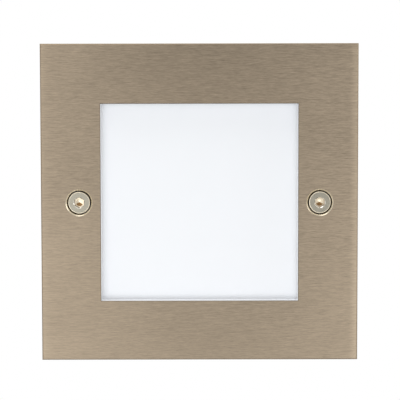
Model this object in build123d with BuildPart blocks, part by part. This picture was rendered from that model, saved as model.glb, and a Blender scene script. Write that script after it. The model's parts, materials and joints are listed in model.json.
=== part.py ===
from build123d import *

import math
import os

# Square recessed step light: a brushed stainless faceplate with a square opal window and two
# socket screws, a cast housing with the lamp board in front and the driver behind it, and the
# recess box that is built into the wall.
#
# +Z is up, the light shines towards -Y, and +Y runs into the wall. The origin is the centre of
# the window, on the wall's face, where the flange of the recess box bears. Sizes are millimetres.

# ---------------------------------------------------------------- the face
window_size = 62.3
diffuser_overlap = 2.35
pocket_clearance = 0.5
pocket_wall = 1.7
ear_hole_radius = 2.3
ear_margin = 2.7
box_clearance = 1.0
box_wall = 2.0
box_lip = 2.0
plate_overhang = 2.0

# ---------------------------------------------------------------- the depth
box_flange_thickness = 1.6
face_gasket_thickness = 1.0
plate_thickness = 4.0
front_seal_thickness = 0.8
diffuser_thickness = 4.0
rear_seal_thickness = 1.2
tray_wall = 1.0
ledge_thickness = 2.6
tray_depth = 11.4
lamp_board_thickness = 1.6
thermal_pad_thickness = 0.5
web_thickness = 3.0
driver_cavity_depth = 20.0
rear_gasket_thickness = 0.8
rear_cover_thickness = 3.0

# ---------------------------------------------------------------- faceplate and seals
plate_edge_chamfer = 0.3
window_edge_chamfer = 0.15
screw_hole_radius = 3.85
screw_hole_chamfer = 0.4
bezel_thread_depth = 2.8
gasket_inset = 0.5
cover_edge_chamfer = 0.5
seal_setback = 0.35
seal_side_gap = 0.1
diffuser_chamfer = 0.4

# ---------------------------------------------------------------- face screws, M4
face_screw_radius = 1.98
face_screw_length = 20.0
face_head_radius = 3.5
face_head_height = 4.0
face_head_chamfer = 0.3
face_key_flats = 3.0
face_key_depth = 2.0
face_tip_chamfer = 0.5
face_washer_radius = 3.4
face_washer_bore = 2.1
face_washer_thickness = 0.5
washer_seat_depth = 0.6

# ---------------------------------------------------------------- inserts and bosses in the box
insert_radius = 2.8
insert_length = 8.0
insert_fit = 0.01
insert_groove_depth = 0.35
insert_groove_width = 0.9
thread_clearance = 0.04
boss_wall = 1.2
boss_gap = 1.0
boss_floor = 1.0
tip_clearance = 0.3

# ---------------------------------------------------------------- housing
body_gap = 1.0
body_wall = 2.2
body_corner = 3.0
flange_corner = 3.0
pocket_corner = 1.5
chamber_corner = 2.0
cover_post_size = 7.0
cover_post_inset = 3.5
cover_thread_length = 7.0
driver_post_radius = 2.6
driver_post_height = 3.5
fin_thickness = 1.6
fin_height = 4.5
fin_root = 1.0
fin_pitch = 8.0
fins_above = 7
fins_beside = 3
first_fin_beside = 10.0

# ---------------------------------------------------------------- small screws, M2.5, M3 and M4
small_radius = 1.23
small_head_radius = 2.0
small_head_height = 1.5
medium_radius = 1.48
medium_head_radius = 2.75
medium_head_height = 2.0
large_radius = 1.98
large_head_radius = 3.6
large_head_height = 2.4
shank_clearance = 0.02
pass_clearance = 0.15
thread_floor = 0.4
tip_gap = 0.2
pan_rounding = 0.45
cross_width = 0.7
cross_share = 0.62

# ---------------------------------------------------------------- light chamber
tray_side_gap = 0.3
tray_taper = 6.2
lamp_board_gap = 0.8
lamp_board_corner = 2.0
lamp_screw_inset = 3.2
thermal_pad_inset = 2.5
chip_width = 2.8
chip_length = 3.5
chip_height = 0.8
chip_pitch = 11.5
chips_per_side = 4
grommet_radius = 2.2
grommet_flange_radius = 3.0
grommet_flange_thickness = 1.0
grommet_bore = 1.35
grommet_side_gap = 0.4
grommet_height = 2.0
notch_clearance = 0.3
connector_width = 3.2
connector_length = 5.0
connector_height = 2.2
connector_gap = 2.5

# ---------------------------------------------------------------- driver board
driver_board_width = 44.0
driver_board_height = 35.0
driver_board_thickness = 1.6
driver_board_lift = 8.0
driver_screw_inset = 3.0

# What stands on the board. A rise is a place's height over the board's lower edge, an inset is its
# distance from the nearer end, and an offset is from the board's upright centre line.
core_width = 16.0
core_thickness = 5.0
core_height = 11.5
core_limb = 4.0
core_offset = 2.5
core_rise = 21.5
winding_gap = 0.08
winding_depth = 11.0
bobbin_base = 1.5
input_capacitor_radius = 4.0
input_capacitor_height = 10.5
input_capacitor_inset = 7.5
input_capacitor_rise = 23.0
output_capacitor_radius = 3.15
output_capacitor_height = 9.5
output_capacitor_inset = 6.0
output_capacitor_rise = 24.0
can_rounding = 0.4
safety_capacitor_width = 12.0
safety_capacitor_depth = 5.0
safety_capacitor_height = 9.0
safety_capacitor_offset = 3.5
safety_capacitor_rise = 11.0
choke_radius = 3.6
choke_waist = 2.6
choke_height = 7.0
choke_flange = 1.0
choke_inset = 6.2
choke_rise = 13.5
rectifier_width = 6.4
rectifier_depth = 4.6
rectifier_height = 2.6
rectifier_offset = -6.2
rectifier_rise = 8.5
chip_body_width = 4.9
chip_body_depth = 3.9
chip_body_height = 1.6
chip_body_inset = 8.0
chip_body_rise = 13.0

# ---------------------------------------------------------------- terminal block
terminal_poles = 3
terminal_pitch = 8.5
terminal_height = 14.0
terminal_depth = 11.0
terminal_end_wall = 1.8
terminal_board_gap = 3.8
terminal_lug_length = 5.2
terminal_lug_width = 6.0
terminal_lug_thickness = 2.5
clamp_size = 4.9
clamp_length = 10.0
clamp_fit = 0.05
clamp_floor = 2.0
clamp_bore = 1.5
clamp_screw_radius = 1.25
clamp_screw_length = 4.2
clamp_screw_offset = 2.8
clamp_screw_hole = 1.9
clamp_screw_slot = 0.5

# ---------------------------------------------------------------- earth terminal
earth_offset = 2.325
earth_drop = 0.9
earth_boss_radius = 4.2
earth_boss_height = 4.0
earth_tag_radius = 3.8
earth_tag_thickness = 0.8

# ---------------------------------------------------------------- wires, over the insulation
mains_wire_radius = 0.9
mains_wire_bend = 2.8
wire_insertion = 3.0
wire_board_gap = 2.2
wire_run_between_bends = 0.6
earth_wire_drop = 1.8
earth_wire_step = 2.1
lead_radius = 0.55
lead_spread = 0.62
lead_bend = 2.2
lead_pad_inset = 3.0
lead_pad_spread = 2.0

# ---------------------------------------------------------------- cable gland, M12
gland_height = -14.0
gland_thread_radius = 5.95
gland_hole_clearance = 0.1
gland_flats = 15.0
gland_washer_radius = 8.2
gland_washer_thickness = 0.8
gland_hex_thickness = 4.0
gland_inner_length = 4.5
gland_locknut_thickness = 3.0
gland_spigot_radius = 5.4
gland_spigot_length = 7.0
gland_bore = 3.6
gland_bush_radius = 4.5
gland_bush_bore = 3.2
gland_bush_fit = 0.02
gland_bush_length = 6.2
gland_bush_proud = 0.4
slip_ring_thickness = 0.8
gland_nut_gap = 0.5
gland_nut_clearance = 0.08
gland_nut_end_wall = 1.8
gland_nut_hex_length = 5.0
gland_nut_shoulder = 0.4
gland_nut_shoulder_length = 1.2
gland_nut_nose_wall = 1.7
gland_nut_travel = 3.0

# ---------------------------------------------------------------- recess box and conduit adaptor
box_corner = 4.0
box_back_wall = 2.0
box_back_gap = 1.0
box_rib_height = 1.0
box_rib_width = 1.6
box_rib_margin = 12.0
box_rib_pitch = 22.0
box_ribs = 2
knockout_radius = 10.2
knockout_groove = 1.0
knockout_web = 0.6
knockout_back_gap = 0.4
fixing_hole_radius = 2.25
fixing_spacing = 64.0
conduit_radius = 10.05
conduit_wall = 2.0
conduit_stop = 1.5
conduit_socket_length = 13.0
adaptor_flange_radius = 14.0
adaptor_flange_thickness = 1.5
adaptor_neck_radius = 9.9
adaptor_neck_wall = 1.6
adaptor_neck_length = 3.4
adaptor_neck_fit = 0.1
adaptor_locknut_flats = 26.0
adaptor_locknut_thickness = 3.0

# ---------------------------------------------------------------- worked out across the face
diffuser_size = window_size + 2 * diffuser_overlap
pocket_size = diffuser_size + 2 * pocket_clearance
seal_size = diffuser_size - 2 * seal_side_gap
screw_x = pocket_size / 2 + pocket_wall + ear_hole_radius
flange_size = 2 * (screw_x + ear_hole_radius + ear_margin)
box_inner = flange_size + 2 * box_clearance
box_outer = box_inner + 2 * box_wall
box_flange_size = box_outer + 2 * box_lip
plate_size = box_flange_size + 2 * plate_overhang
boss_radius = insert_radius + boss_wall
body_size = 2 * (screw_x - boss_radius - body_gap)
chamber_size = body_size - 2 * body_wall

# ---------------------------------------------------------------- worked out through the depth
wall_y = 0.0
box_flange_front = wall_y - box_flange_thickness
plate_back = box_flange_front - face_gasket_thickness
diffuser_front = plate_back + front_seal_thickness
diffuser_back = diffuser_front + diffuser_thickness
tray_front = diffuser_back + rear_seal_thickness
ledge_y = tray_front + tray_wall
flange_back = ledge_y + ledge_thickness
lamp_board_front = ledge_y + tray_depth
lamp_board_back = lamp_board_front + lamp_board_thickness
web_front = lamp_board_back + thermal_pad_thickness
web_back = web_front + web_thickness
driver_board_front = web_back + driver_post_height
driver_board_back = driver_board_front + driver_board_thickness
housing_back = web_back + driver_cavity_depth
cover_front = housing_back + rear_gasket_thickness
cover_back = cover_front + rear_cover_thickness

gland_hex_front = cover_back + gland_washer_thickness
gland_hex_back = gland_hex_front + gland_hex_thickness
gland_spigot_back = gland_hex_back + gland_spigot_length
bush_front = gland_spigot_back - gland_bush_length
bush_back = gland_spigot_back + gland_bush_proud
slip_ring_back = bush_back + slip_ring_thickness
nut_front = gland_hex_back + gland_nut_gap
nut_shoulder = nut_front + gland_nut_hex_length
nut_seat = slip_ring_back + gland_nut_clearance
nut_back = nut_seat + gland_nut_end_wall

neck_front = nut_back + gland_nut_travel + box_back_gap
box_back_inner = neck_front + adaptor_neck_length
box_back = box_back_inner + box_back_wall
head_seat = plate_back + washer_seat_depth - face_washer_thickness
head_top = head_seat - face_head_height
screw_tip = head_seat + face_screw_length
boss_front = flange_back + boss_gap
insert_back = boss_front + insert_length
boss_back = screw_tip + tip_clearance + boss_floor


# ---------------------------------------------------------------- shared steps
def across(y):
    """The plane across the light at depth y, seen from the front: X to the right and Z up."""
    return Plane.XZ.offset(-y)


def corners(half):
    """The four corners of a square, from half its side."""
    return [(x, z) for x in (-half, half) for z in (-half, half)]


def slab(width, height, front, back, corner=0.0, places=((0, 0),), mode=Mode.ADD):
    """Blocks between two depths, with their four long edges rounded if they have a corner."""
    with BuildSketch(across(back)) as outline:
        with Locations(*places):
            if corner > 0:
                RectangleRounded(width, height, corner)
            else:
                Rectangle(width, height)
    extrude(outline.sketch, amount=back - front, mode=mode)


def rod(radius, front, back, places=((0, 0),), mode=Mode.ADD):
    """Round bars between two depths, or holes."""
    with BuildSketch(across(back)) as outline:
        with Locations(*places):
            Circle(radius)
    extrude(outline.sketch, amount=back - front, mode=mode)


def hexagon(flats, front, back, places=((0, 0),), mode=Mode.ADD):
    """Hexagonal bars between two depths, or sockets, from their size across the flats."""
    with BuildSketch(across(back)) as outline:
        with Locations(*places):
            RegularPolygon(flats / math.sqrt(3), 6)
    extrude(outline.sketch, amount=back - front, mode=mode)


def turned(points, x, z):
    """A solid turned about the line at (x, z), from its (radius, depth) points."""
    with BuildSketch(Plane(origin=(x, 0, z), x_dir=(1, 0, 0), z_dir=(0, 0, 1))) as half:
        with BuildLine():
            Polyline(*points, close=True)
        make_face()
    revolve(half.sketch, axis=Axis((x, 0, z), (0, 1, 0)))


def pan_screws(size, seat, tip, places):
    """Cross-slotted pan-head screws along Y, from the seat under the head to the tip."""
    shank, head, height = size
    away = -1 if tip > seat else 1
    top = seat + away * height
    slot = top - away * height * cross_share
    rod(shank, min(seat, tip), max(seat, tip), places)
    rod(head, min(seat, top), max(seat, top), places)
    rims = edges().filter_by(GeomType.CIRCLE).group_by(Axis.Y)
    fillet(rims[0] if away < 0 else rims[-1], height * pan_rounding)
    length = 2 * head * cross_share
    for width, depth in ((length, cross_width), (cross_width, length)):
        slab(width, depth, min(top, slot), max(top, slot), places=places, mode=Mode.SUBTRACT)


def wire(name, route, radius, bend):
    """A round wire along straight runs joined by tangent arcs of one bend radius."""
    with BuildLine() as path:
        FilletPolyline(*route, radius=bend)
    with BuildSketch(Plane(origin=path.line @ 0, z_dir=path.line % 0)) as section:
        Circle(radius)
    made = sweep(section.sketch, path=path.line)
    length = sum(edge.length for edge in path.edges())
    share = made.volume / (math.pi * radius**2 * length)
    print(f"{name}: {length:.1f} mm long, bends of {bend} mm, volume over section x length {share:.4f}")


small_screw = (small_radius, small_head_radius, small_head_height)
medium_screw = (medium_radius, medium_head_radius, medium_head_height)
large_screw = (large_radius, large_head_radius, large_head_height)

# ---------------------------------------------------------------- places across the light
ear_places = [(-screw_x, 0), (screw_x, 0)]
bezel_places = corners((pocket_size + flange_size) / 4)
cover_places = corners(chamber_size / 2 - cover_post_inset)
post_size = cover_post_size + body_wall / 2
post_places = corners(chamber_size / 2 + body_wall / 2 - post_size / 2)
lamp_screw_places = corners(chamber_size / 2 - lamp_screw_inset)
board_half = driver_board_width / 2
board_bottom = driver_board_lift - driver_board_height / 2
driver_screw_x = board_half - driver_screw_inset
driver_screw_z = driver_board_height / 2 - driver_screw_inset
driver_places = [
    (side * driver_screw_x, driver_board_lift + end * driver_screw_z)
    for side in (-1, 1)
    for end in (-1, 1)
]
grommet_x = -(chamber_size / 2 - grommet_side_gap - grommet_flange_radius)
grommet_places = [(grommet_x, grommet_height)]
gland_places = [(0, gland_height)]

terminal_top = board_bottom - terminal_board_gap
terminal_z = terminal_top - terminal_height / 2
terminal_width = terminal_poles * terminal_pitch + 2 * terminal_end_wall
pole_x = [(n - (terminal_poles - 1) / 2) * terminal_pitch for n in range(terminal_poles)]
pole_places = [(x, terminal_z) for x in pole_x]
lug_x = terminal_width / 2 + terminal_lug_length / 2
lug_places = [(-lug_x, terminal_z), (lug_x, terminal_z)]
# the earth screw stands between the terminal block and the chamber's wall
earth_x = (terminal_width + chamber_size) / 4 + earth_offset
earth_z = terminal_top - earth_drop
earth_places = [(earth_x, earth_z)]

lamp_thread_back = web_back - thread_floor
terminal_thread_front = web_front + thread_floor
cover_thread_front = housing_back - cover_thread_length

# ---------------------------------------------------------------- faceplate and its seals
with BuildPart() as faceplate:
    with BuildSketch(across(plate_back)):
        Rectangle(plate_size, plate_size)
        Rectangle(window_size, window_size, mode=Mode.SUBTRACT)
        with Locations(*ear_places):
            Circle(screw_hole_radius, mode=Mode.SUBTRACT)
    extrude(amount=plate_thickness)
    bezel_thread_front = plate_back - bezel_thread_depth
    rod(medium_radius + shank_clearance, bezel_thread_front, plate_back, bezel_places, Mode.SUBTRACT)
    chamfer(faceplate.faces().sort_by(Axis.Y)[0].outer_wire().edges(), plate_edge_chamfer)
    holes = faceplate.faces().sort_by(Axis.Y)[0].inner_wires().edges()
    chamfer(holes.filter_by(GeomType.CIRCLE), screw_hole_chamfer)
    holes = faceplate.faces().sort_by(Axis.Y)[0].inner_wires().edges()
    chamfer(holes.filter_by(GeomType.LINE), window_edge_chamfer)

with BuildPart() as face_gasket:
    outer = box_flange_size - 2 * gasket_inset
    inner = box_inner + 2 * gasket_inset
    slab(outer, outer, plate_back, box_flange_front, box_corner)
    slab(inner, inner, plate_back, box_flange_front, box_corner - box_wall, mode=Mode.SUBTRACT)

with BuildPart() as front_seal:
    sight = window_size + 2 * seal_setback
    slab(seal_size, seal_size, plate_back, diffuser_front, pocket_corner)
    slab(sight, sight, plate_back, diffuser_front, mode=Mode.SUBTRACT)

with BuildPart() as diffuser:
    slab(diffuser_size, diffuser_size, diffuser_front, diffuser_back, pocket_corner)
    rims = diffuser.edges().group_by(Axis.Y)
    chamfer([*rims[0], *rims[-1]], diffuser_chamfer)

with BuildPart() as rear_seal:
    slab(seal_size, seal_size, diffuser_back, tray_front, pocket_corner)
    slab(chamber_size, chamber_size, diffuser_back, tray_front, chamber_corner, mode=Mode.SUBTRACT)

# ---------------------------------------------------------------- housing
fin_reach = fin_height + fin_root
fin_middle = body_size / 2 + fin_height - fin_reach / 2
above_x = [(n - (fins_above - 1) / 2) * fin_pitch for n in range(fins_above)]
beside_z = [side * (first_fin_beside + n * fin_pitch) for n in range(fins_beside) for side in (-1, 1)]

with BuildPart() as housing:
    slab(flange_size, flange_size, plate_back, flange_back, flange_corner)
    slab(body_size, body_size, flange_back, housing_back, body_corner)
    # cooling fins along the draw of the casting, with the sides bare where the bosses pass
    for side in (-1, 1):
        above = [(x, side * fin_middle) for x in above_x]
        beside = [(side * fin_middle, z) for z in beside_z]
        slab(fin_thickness, fin_reach, flange_back, housing_back, places=above)
        slab(fin_reach, fin_thickness, flange_back, housing_back, places=beside)
    slab(pocket_size, pocket_size, plate_back, ledge_y, pocket_corner, mode=Mode.SUBTRACT)
    slab(chamber_size, chamber_size, ledge_y, web_front, chamber_corner, mode=Mode.SUBTRACT)
    slab(chamber_size, chamber_size, web_back, housing_back, chamber_corner, mode=Mode.SUBTRACT)
    # posts inside the driver cavity
    slab(post_size, post_size, web_back, housing_back, chamber_corner, post_places)
    rod(driver_post_radius, web_back, driver_board_front, driver_places)
    rod(earth_boss_radius, web_back, web_back + earth_boss_height, earth_places)
    # holes for the face screws, with a seat for each washer, and for the screws from behind
    rod(ear_hole_radius, plate_back, flange_back, ear_places, Mode.SUBTRACT)
    rod(screw_hole_radius, plate_back, plate_back + washer_seat_depth, ear_places, Mode.SUBTRACT)
    rod(medium_radius + pass_clearance, plate_back, flange_back, bezel_places, Mode.SUBTRACT)
    rod(medium_radius + shank_clearance, cover_thread_front, housing_back, cover_places, Mode.SUBTRACT)
    # threads for the boards, the terminal block and the earth screw
    rod(small_radius + shank_clearance, web_front, lamp_thread_back, lamp_screw_places, Mode.SUBTRACT)
    rod(small_radius + shank_clearance, web_back, driver_board_front, driver_places, Mode.SUBTRACT)
    rod(small_radius + shank_clearance, terminal_thread_front, web_back, lug_places, Mode.SUBTRACT)
    rod(large_radius + shank_clearance, web_back, web_back + earth_boss_height, earth_places, Mode.SUBTRACT)
    rod(grommet_radius, web_front, web_back, grommet_places, Mode.SUBTRACT)

with BuildPart() as bezel_screws:
    bezel_tip = bezel_thread_front + tip_gap
    pan_screws(medium_screw, flange_back, bezel_tip, bezel_places)

# ---------------------------------------------------------------- light chamber
tray_mouth = chamber_size - 2 * tray_side_gap
tray_foot = tray_mouth - 2 * tray_taper
tray_corner = chamber_corner - tray_side_gap

with BuildPart() as reflector_tray:
    slab(seal_size, seal_size, tray_front, ledge_y, pocket_corner)
    with BuildSketch(across(ledge_y)):
        RectangleRounded(tray_mouth, tray_mouth, tray_corner)
    with BuildSketch(across(lamp_board_front)):
        RectangleRounded(tray_foot, tray_foot, tray_corner)
    loft()
    with BuildSketch(across(tray_front)):
        Rectangle(tray_mouth - 2 * tray_wall, tray_mouth - 2 * tray_wall)
    with BuildSketch(across(lamp_board_front)):
        Rectangle(tray_foot - 2 * tray_wall, tray_foot - 2 * tray_wall)
    loft(mode=Mode.SUBTRACT)

lamp_board_size = chamber_size - 2 * lamp_board_gap
notch_radius = grommet_flange_radius + notch_clearance
notch_depth = lamp_board_size / 2 + grommet_x + notch_radius
notch_places = [((notch_depth - lamp_board_size) / 2, grommet_height)]
notch_size = (notch_depth, 2 * notch_radius)

with BuildPart() as lamp_board:
    slab(lamp_board_size, lamp_board_size, lamp_board_front, lamp_board_back, lamp_board_corner)
    slab(*notch_size, lamp_board_front, lamp_board_back, places=notch_places, mode=Mode.SUBTRACT)
    rod(small_radius + pass_clearance, lamp_board_front, lamp_board_back, lamp_screw_places, Mode.SUBTRACT)

with BuildPart() as lamp_chips:
    with BuildSketch(across(lamp_board_front)):
        with GridLocations(chip_pitch, chip_pitch, chips_per_side, chips_per_side):
            Rectangle(chip_width, chip_length)
    extrude(amount=chip_height)

connector_bottom = grommet_height + notch_radius + connector_gap
connector_front = lamp_board_front - connector_height

with BuildPart() as lamp_connector:
    middle = (grommet_x, connector_bottom + connector_length / 2)
    slab(connector_width, connector_length, connector_front, lamp_board_front, places=[middle])

with BuildPart() as lamp_board_screws:
    lamp_tip = lamp_thread_back - tip_gap
    pan_screws(small_screw, lamp_board_front, lamp_tip, lamp_screw_places)

with BuildPart() as thermal_pad:
    pad_size = lamp_board_size - 2 * thermal_pad_inset
    slab(pad_size, pad_size, lamp_board_back, web_front)
    slab(*notch_size, lamp_board_back, web_front, places=notch_places, mode=Mode.SUBTRACT)
    rod(small_radius + pass_clearance, lamp_board_back, web_front, lamp_screw_places, Mode.SUBTRACT)

with BuildPart() as lead_grommet:
    grommet_front = web_front - grommet_flange_thickness
    grommet_back = web_back + grommet_flange_thickness
    rod(grommet_radius, web_front, web_back, grommet_places)
    rod(grommet_flange_radius, grommet_front, web_front, grommet_places)
    rod(grommet_flange_radius, web_back, grommet_back, grommet_places)
    rod(grommet_bore, grommet_front, grommet_back, grommet_places, Mode.SUBTRACT)


# ---------------------------------------------------------------- driver board
def on_board(x, rise):
    """A place on the driver board, from its upright centre line and its lower edge."""
    return [(x, board_bottom + rise)]


with BuildPart() as driver_board:
    size = (driver_board_width, driver_board_height)
    slab(*size, driver_board_front, driver_board_back, places=[(0, driver_board_lift)])
    rod(small_radius + pass_clearance, driver_board_front, driver_board_back, driver_places, Mode.SUBTRACT)

with BuildPart() as driver_screws:
    driver_tip = web_back + tip_gap
    pan_screws(small_screw, driver_board_back, driver_tip, driver_places)

core_places = on_board(core_offset, core_rise)
core_front = driver_board_back + bobbin_base
core_back = core_front + core_height
core_window = (core_width - 2 * core_limb) / 2
window_front = core_front + core_limb / 2
window_back = core_back - core_limb / 2

with BuildPart() as transformer_core:
    slab(core_width, core_thickness, core_front, core_back, places=core_places)
    for side in (-1, 1):
        beside = on_board(core_offset + side * (core_limb + core_window) / 2, core_rise)
        slab(core_window, core_thickness, window_front, window_back, places=beside, mode=Mode.SUBTRACT)

with BuildPart() as transformer_winding:
    width = core_width - core_limb - 2 * winding_gap
    limb_width = core_limb + 2 * winding_gap
    limb_thickness = core_thickness + 2 * winding_gap
    front = window_front + winding_gap
    back = window_back - winding_gap
    slab(width, winding_depth, front, back, core_limb / 2, core_places)
    slab(limb_width, limb_thickness, front, back, places=core_places, mode=Mode.SUBTRACT)

with BuildPart() as transformer_bobbin:
    slab(core_width, winding_depth, driver_board_back, core_front, places=core_places)

with BuildPart() as input_capacitor:
    back = driver_board_back + input_capacitor_height
    place = on_board(input_capacitor_inset - board_half, input_capacitor_rise)
    rod(input_capacitor_radius, driver_board_back, back, place)
    fillet(input_capacitor.faces().sort_by(Axis.Y)[-1].edges(), can_rounding)

with BuildPart() as output_capacitor:
    back = driver_board_back + output_capacitor_height
    place = on_board(board_half - output_capacitor_inset, output_capacitor_rise)
    rod(output_capacitor_radius, driver_board_back, back, place)
    fillet(output_capacitor.faces().sort_by(Axis.Y)[-1].edges(), can_rounding)

with BuildPart() as safety_capacitor:
    size = (safety_capacitor_width, safety_capacitor_depth)
    back = driver_board_back + safety_capacitor_height
    place = on_board(safety_capacitor_offset, safety_capacitor_rise)
    slab(*size, driver_board_back, back, can_rounding, place)

with BuildPart() as filter_choke:
    place = on_board(board_half - choke_inset, choke_rise)
    back = driver_board_back + choke_height
    rod(choke_waist, driver_board_back, back, place)
    rod(choke_radius, driver_board_back, driver_board_back + choke_flange, place)
    rod(choke_radius, back - choke_flange, back, place)

with BuildPart() as rectifier:
    back = driver_board_back + rectifier_height
    place = on_board(rectifier_offset, rectifier_rise)
    slab(rectifier_width, rectifier_depth, driver_board_back, back, places=place)

with BuildPart() as control_chip:
    back = driver_board_back + chip_body_height
    place = on_board(chip_body_inset - board_half, chip_body_rise)
    slab(chip_body_width, chip_body_depth, driver_board_back, back, places=place)

# ---------------------------------------------------------------- terminal block
terminal_back = web_back + terminal_depth
lug_back = web_back + terminal_lug_thickness
tunnel_size = clamp_size + 2 * clamp_fit
tunnel_front = web_back + clamp_floor
tunnel_back = tunnel_front + tunnel_size
clamp_front = tunnel_front + clamp_fit
clamp_back = clamp_front + clamp_size
clamp_y = (clamp_front + clamp_back) / 2
clamp_screw_front = clamp_y + mains_wire_radius
clamp_screw_back = clamp_screw_front + clamp_screw_length
clamp_screws = [(x, terminal_z + end * clamp_screw_offset) for x in pole_x for end in (-1, 1)]

with BuildPart() as terminal_block:
    slab(terminal_width, terminal_height, web_back, terminal_back, places=[(0, terminal_z)])
    size = (terminal_width + 2 * terminal_lug_length, terminal_lug_width)
    slab(*size, web_back, lug_back, places=[(0, terminal_z)])
    slab(tunnel_size, terminal_height, tunnel_front, tunnel_back, places=pole_places, mode=Mode.SUBTRACT)
    rod(clamp_screw_hole, tunnel_back, terminal_back, clamp_screws, Mode.SUBTRACT)
    rod(small_radius + pass_clearance, web_back, lug_back, lug_places, Mode.SUBTRACT)

with BuildPart() as terminal_block_screws:
    lug_tip = terminal_thread_front + tip_gap
    pan_screws(small_screw, lug_back, lug_tip, lug_places)

with BuildPart() as terminal_clamps:
    slab(clamp_size, clamp_length, clamp_front, clamp_back, places=pole_places)
    rod(clamp_screw_radius + shank_clearance, clamp_y, clamp_back, clamp_screws, Mode.SUBTRACT)
    with BuildSketch(Plane.XY.offset(terminal_z - clamp_length / 2)) as bores:
        with Locations(*[(x, clamp_y) for x in pole_x]):
            Circle(clamp_bore)
    extrude(bores.sketch, amount=clamp_length, mode=Mode.SUBTRACT)

with BuildPart() as terminal_screws:
    slot_front = clamp_screw_back - clamp_screw_slot
    slot_length = 2 * clamp_screw_radius
    rod(clamp_screw_radius, clamp_screw_front, clamp_screw_back, clamp_screws)
    slab(slot_length, clamp_screw_slot, slot_front, clamp_screw_back, places=clamp_screws, mode=Mode.SUBTRACT)

# ---------------------------------------------------------------- earth terminal
tag_front = web_back + earth_boss_height
tag_back = tag_front + earth_tag_thickness
tag_side = earth_x - earth_tag_radius
tag_end = (terminal_width / 2 + tag_side) / 2

with BuildPart() as earth_tag:
    rod(earth_tag_radius, tag_front, tag_back, earth_places)
    tail = [((earth_x + tag_end) / 2, earth_z)]
    slab(earth_x - tag_end, 2 * mains_wire_radius, tag_front, tag_back, places=tail)
    rod(large_radius + pass_clearance, tag_front, tag_back, earth_places, Mode.SUBTRACT)

with BuildPart() as earth_screw:
    earth_tip = web_back + tip_gap
    pan_screws(large_screw, tag_back, earth_tip, earth_places)

# ---------------------------------------------------------------- wires inside the housing
wire_start = terminal_z + clamp_length / 2 - wire_insertion
wire_turn = board_bottom - wire_board_gap
wire_over = driver_board_back + 2 * mains_wire_bend + wire_run_between_bends
pad_z = wire_turn + 2 * mains_wire_bend + wire_run_between_bends


def supply_route(x):
    """From a terminal clamp over the lower edge of the driver board and down to its pad."""
    return [
        (x, clamp_y, wire_start),
        (x, clamp_y, wire_turn),
        (x, wire_over, wire_turn),
        (x, wire_over, pad_z),
        (x, driver_board_back, pad_z),
    ]


with BuildPart() as live_wire:
    wire("live wire", supply_route(pole_x[0]), mains_wire_radius, mains_wire_bend)

with BuildPart() as neutral_wire:
    wire("neutral wire", supply_route(pole_x[1]), mains_wire_radius, mains_wire_bend)

with BuildPart() as earth_wire:
    earth_turn = board_bottom - earth_wire_drop
    earth_wire_y = tag_back + mains_wire_radius
    route = [
        (pole_x[2], clamp_y, wire_start),
        (pole_x[2], clamp_y, earth_turn),
        (tag_end - earth_wire_step, earth_wire_y, earth_turn),
        (tag_end, earth_wire_y, earth_z),
        (tag_side, earth_wire_y, earth_z),
    ]
    wire("earth wire", route, mains_wire_radius, mains_wire_bend)

lead_y = lamp_board_front - connector_height / 2
lead_over = driver_board_back + 2 * lead_bend
lead_pad_x = lead_pad_inset - board_half


def lamp_lead_route(side):
    """From the lamp board's connector through the grommet to a pad on the driver board."""
    x = grommet_x + side * lead_spread
    over = lead_over + (1 - side) * lead_spread
    end_z = grommet_height + side * lead_pad_spread
    return [
        (x, lead_y, connector_bottom),
        (x, lead_y, grommet_height),
        (x, over, grommet_height),
        (lead_pad_x, over, end_z),
        (lead_pad_x, driver_board_back, end_z),
    ]


with BuildPart() as lamp_lead_positive:
    wire("lamp lead, positive", lamp_lead_route(1), lead_radius, lead_bend)

with BuildPart() as lamp_lead_negative:
    wire("lamp lead, negative", lamp_lead_route(-1), lead_radius, lead_bend)

# ---------------------------------------------------------------- rear cover
with BuildPart() as rear_gasket:
    slab(body_size, body_size, housing_back, cover_front, body_corner)
    slab(chamber_size, chamber_size, housing_back, cover_front, chamber_corner, mode=Mode.SUBTRACT)
    slab(post_size, post_size, housing_back, cover_front, chamber_corner, post_places)
    rod(medium_radius + pass_clearance, housing_back, cover_front, cover_places, Mode.SUBTRACT)

with BuildPart() as rear_cover:
    slab(body_size, body_size, cover_front, cover_back, body_corner)
    chamfer(rear_cover.faces().sort_by(Axis.Y)[-1].edges(), cover_edge_chamfer)
    rod(medium_radius + pass_clearance, cover_front, cover_back, cover_places, Mode.SUBTRACT)
    rod(gland_thread_radius + gland_hole_clearance, cover_front, cover_back, gland_places, Mode.SUBTRACT)

with BuildPart() as rear_cover_screws:
    cover_tip = cover_thread_front + tip_gap
    pan_screws(medium_screw, cover_back, cover_tip, cover_places)

# ---------------------------------------------------------------- cable gland
gland_inner_front = cover_front - gland_inner_length
locknut_front = cover_front - gland_locknut_thickness
nut_bore = gland_spigot_radius + gland_nut_clearance

with BuildPart() as gland_washer:
    rod(gland_washer_radius, cover_back, gland_hex_front, gland_places)
    rod(gland_thread_radius + gland_hole_clearance, cover_back, gland_hex_front, gland_places, Mode.SUBTRACT)

with BuildPart() as gland_body:
    rod(gland_thread_radius, gland_inner_front, gland_hex_front, gland_places)
    hexagon(gland_flats, gland_hex_front, gland_hex_back, gland_places)
    rod(gland_spigot_radius, gland_hex_back, gland_spigot_back, gland_places)
    rod(gland_bore, gland_inner_front, gland_spigot_back, gland_places, Mode.SUBTRACT)
    rod(gland_bush_radius + gland_bush_fit, bush_front, gland_spigot_back, gland_places, Mode.SUBTRACT)

with BuildPart() as gland_locknut:
    hexagon(gland_flats, locknut_front, cover_front, gland_places)
    rod(gland_thread_radius + shank_clearance, locknut_front, cover_front, gland_places, Mode.SUBTRACT)

with BuildPart() as gland_bush:
    rod(gland_bush_radius, bush_front, bush_back, gland_places)
    rod(gland_bush_bore, bush_front, bush_back, gland_places, Mode.SUBTRACT)

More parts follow.
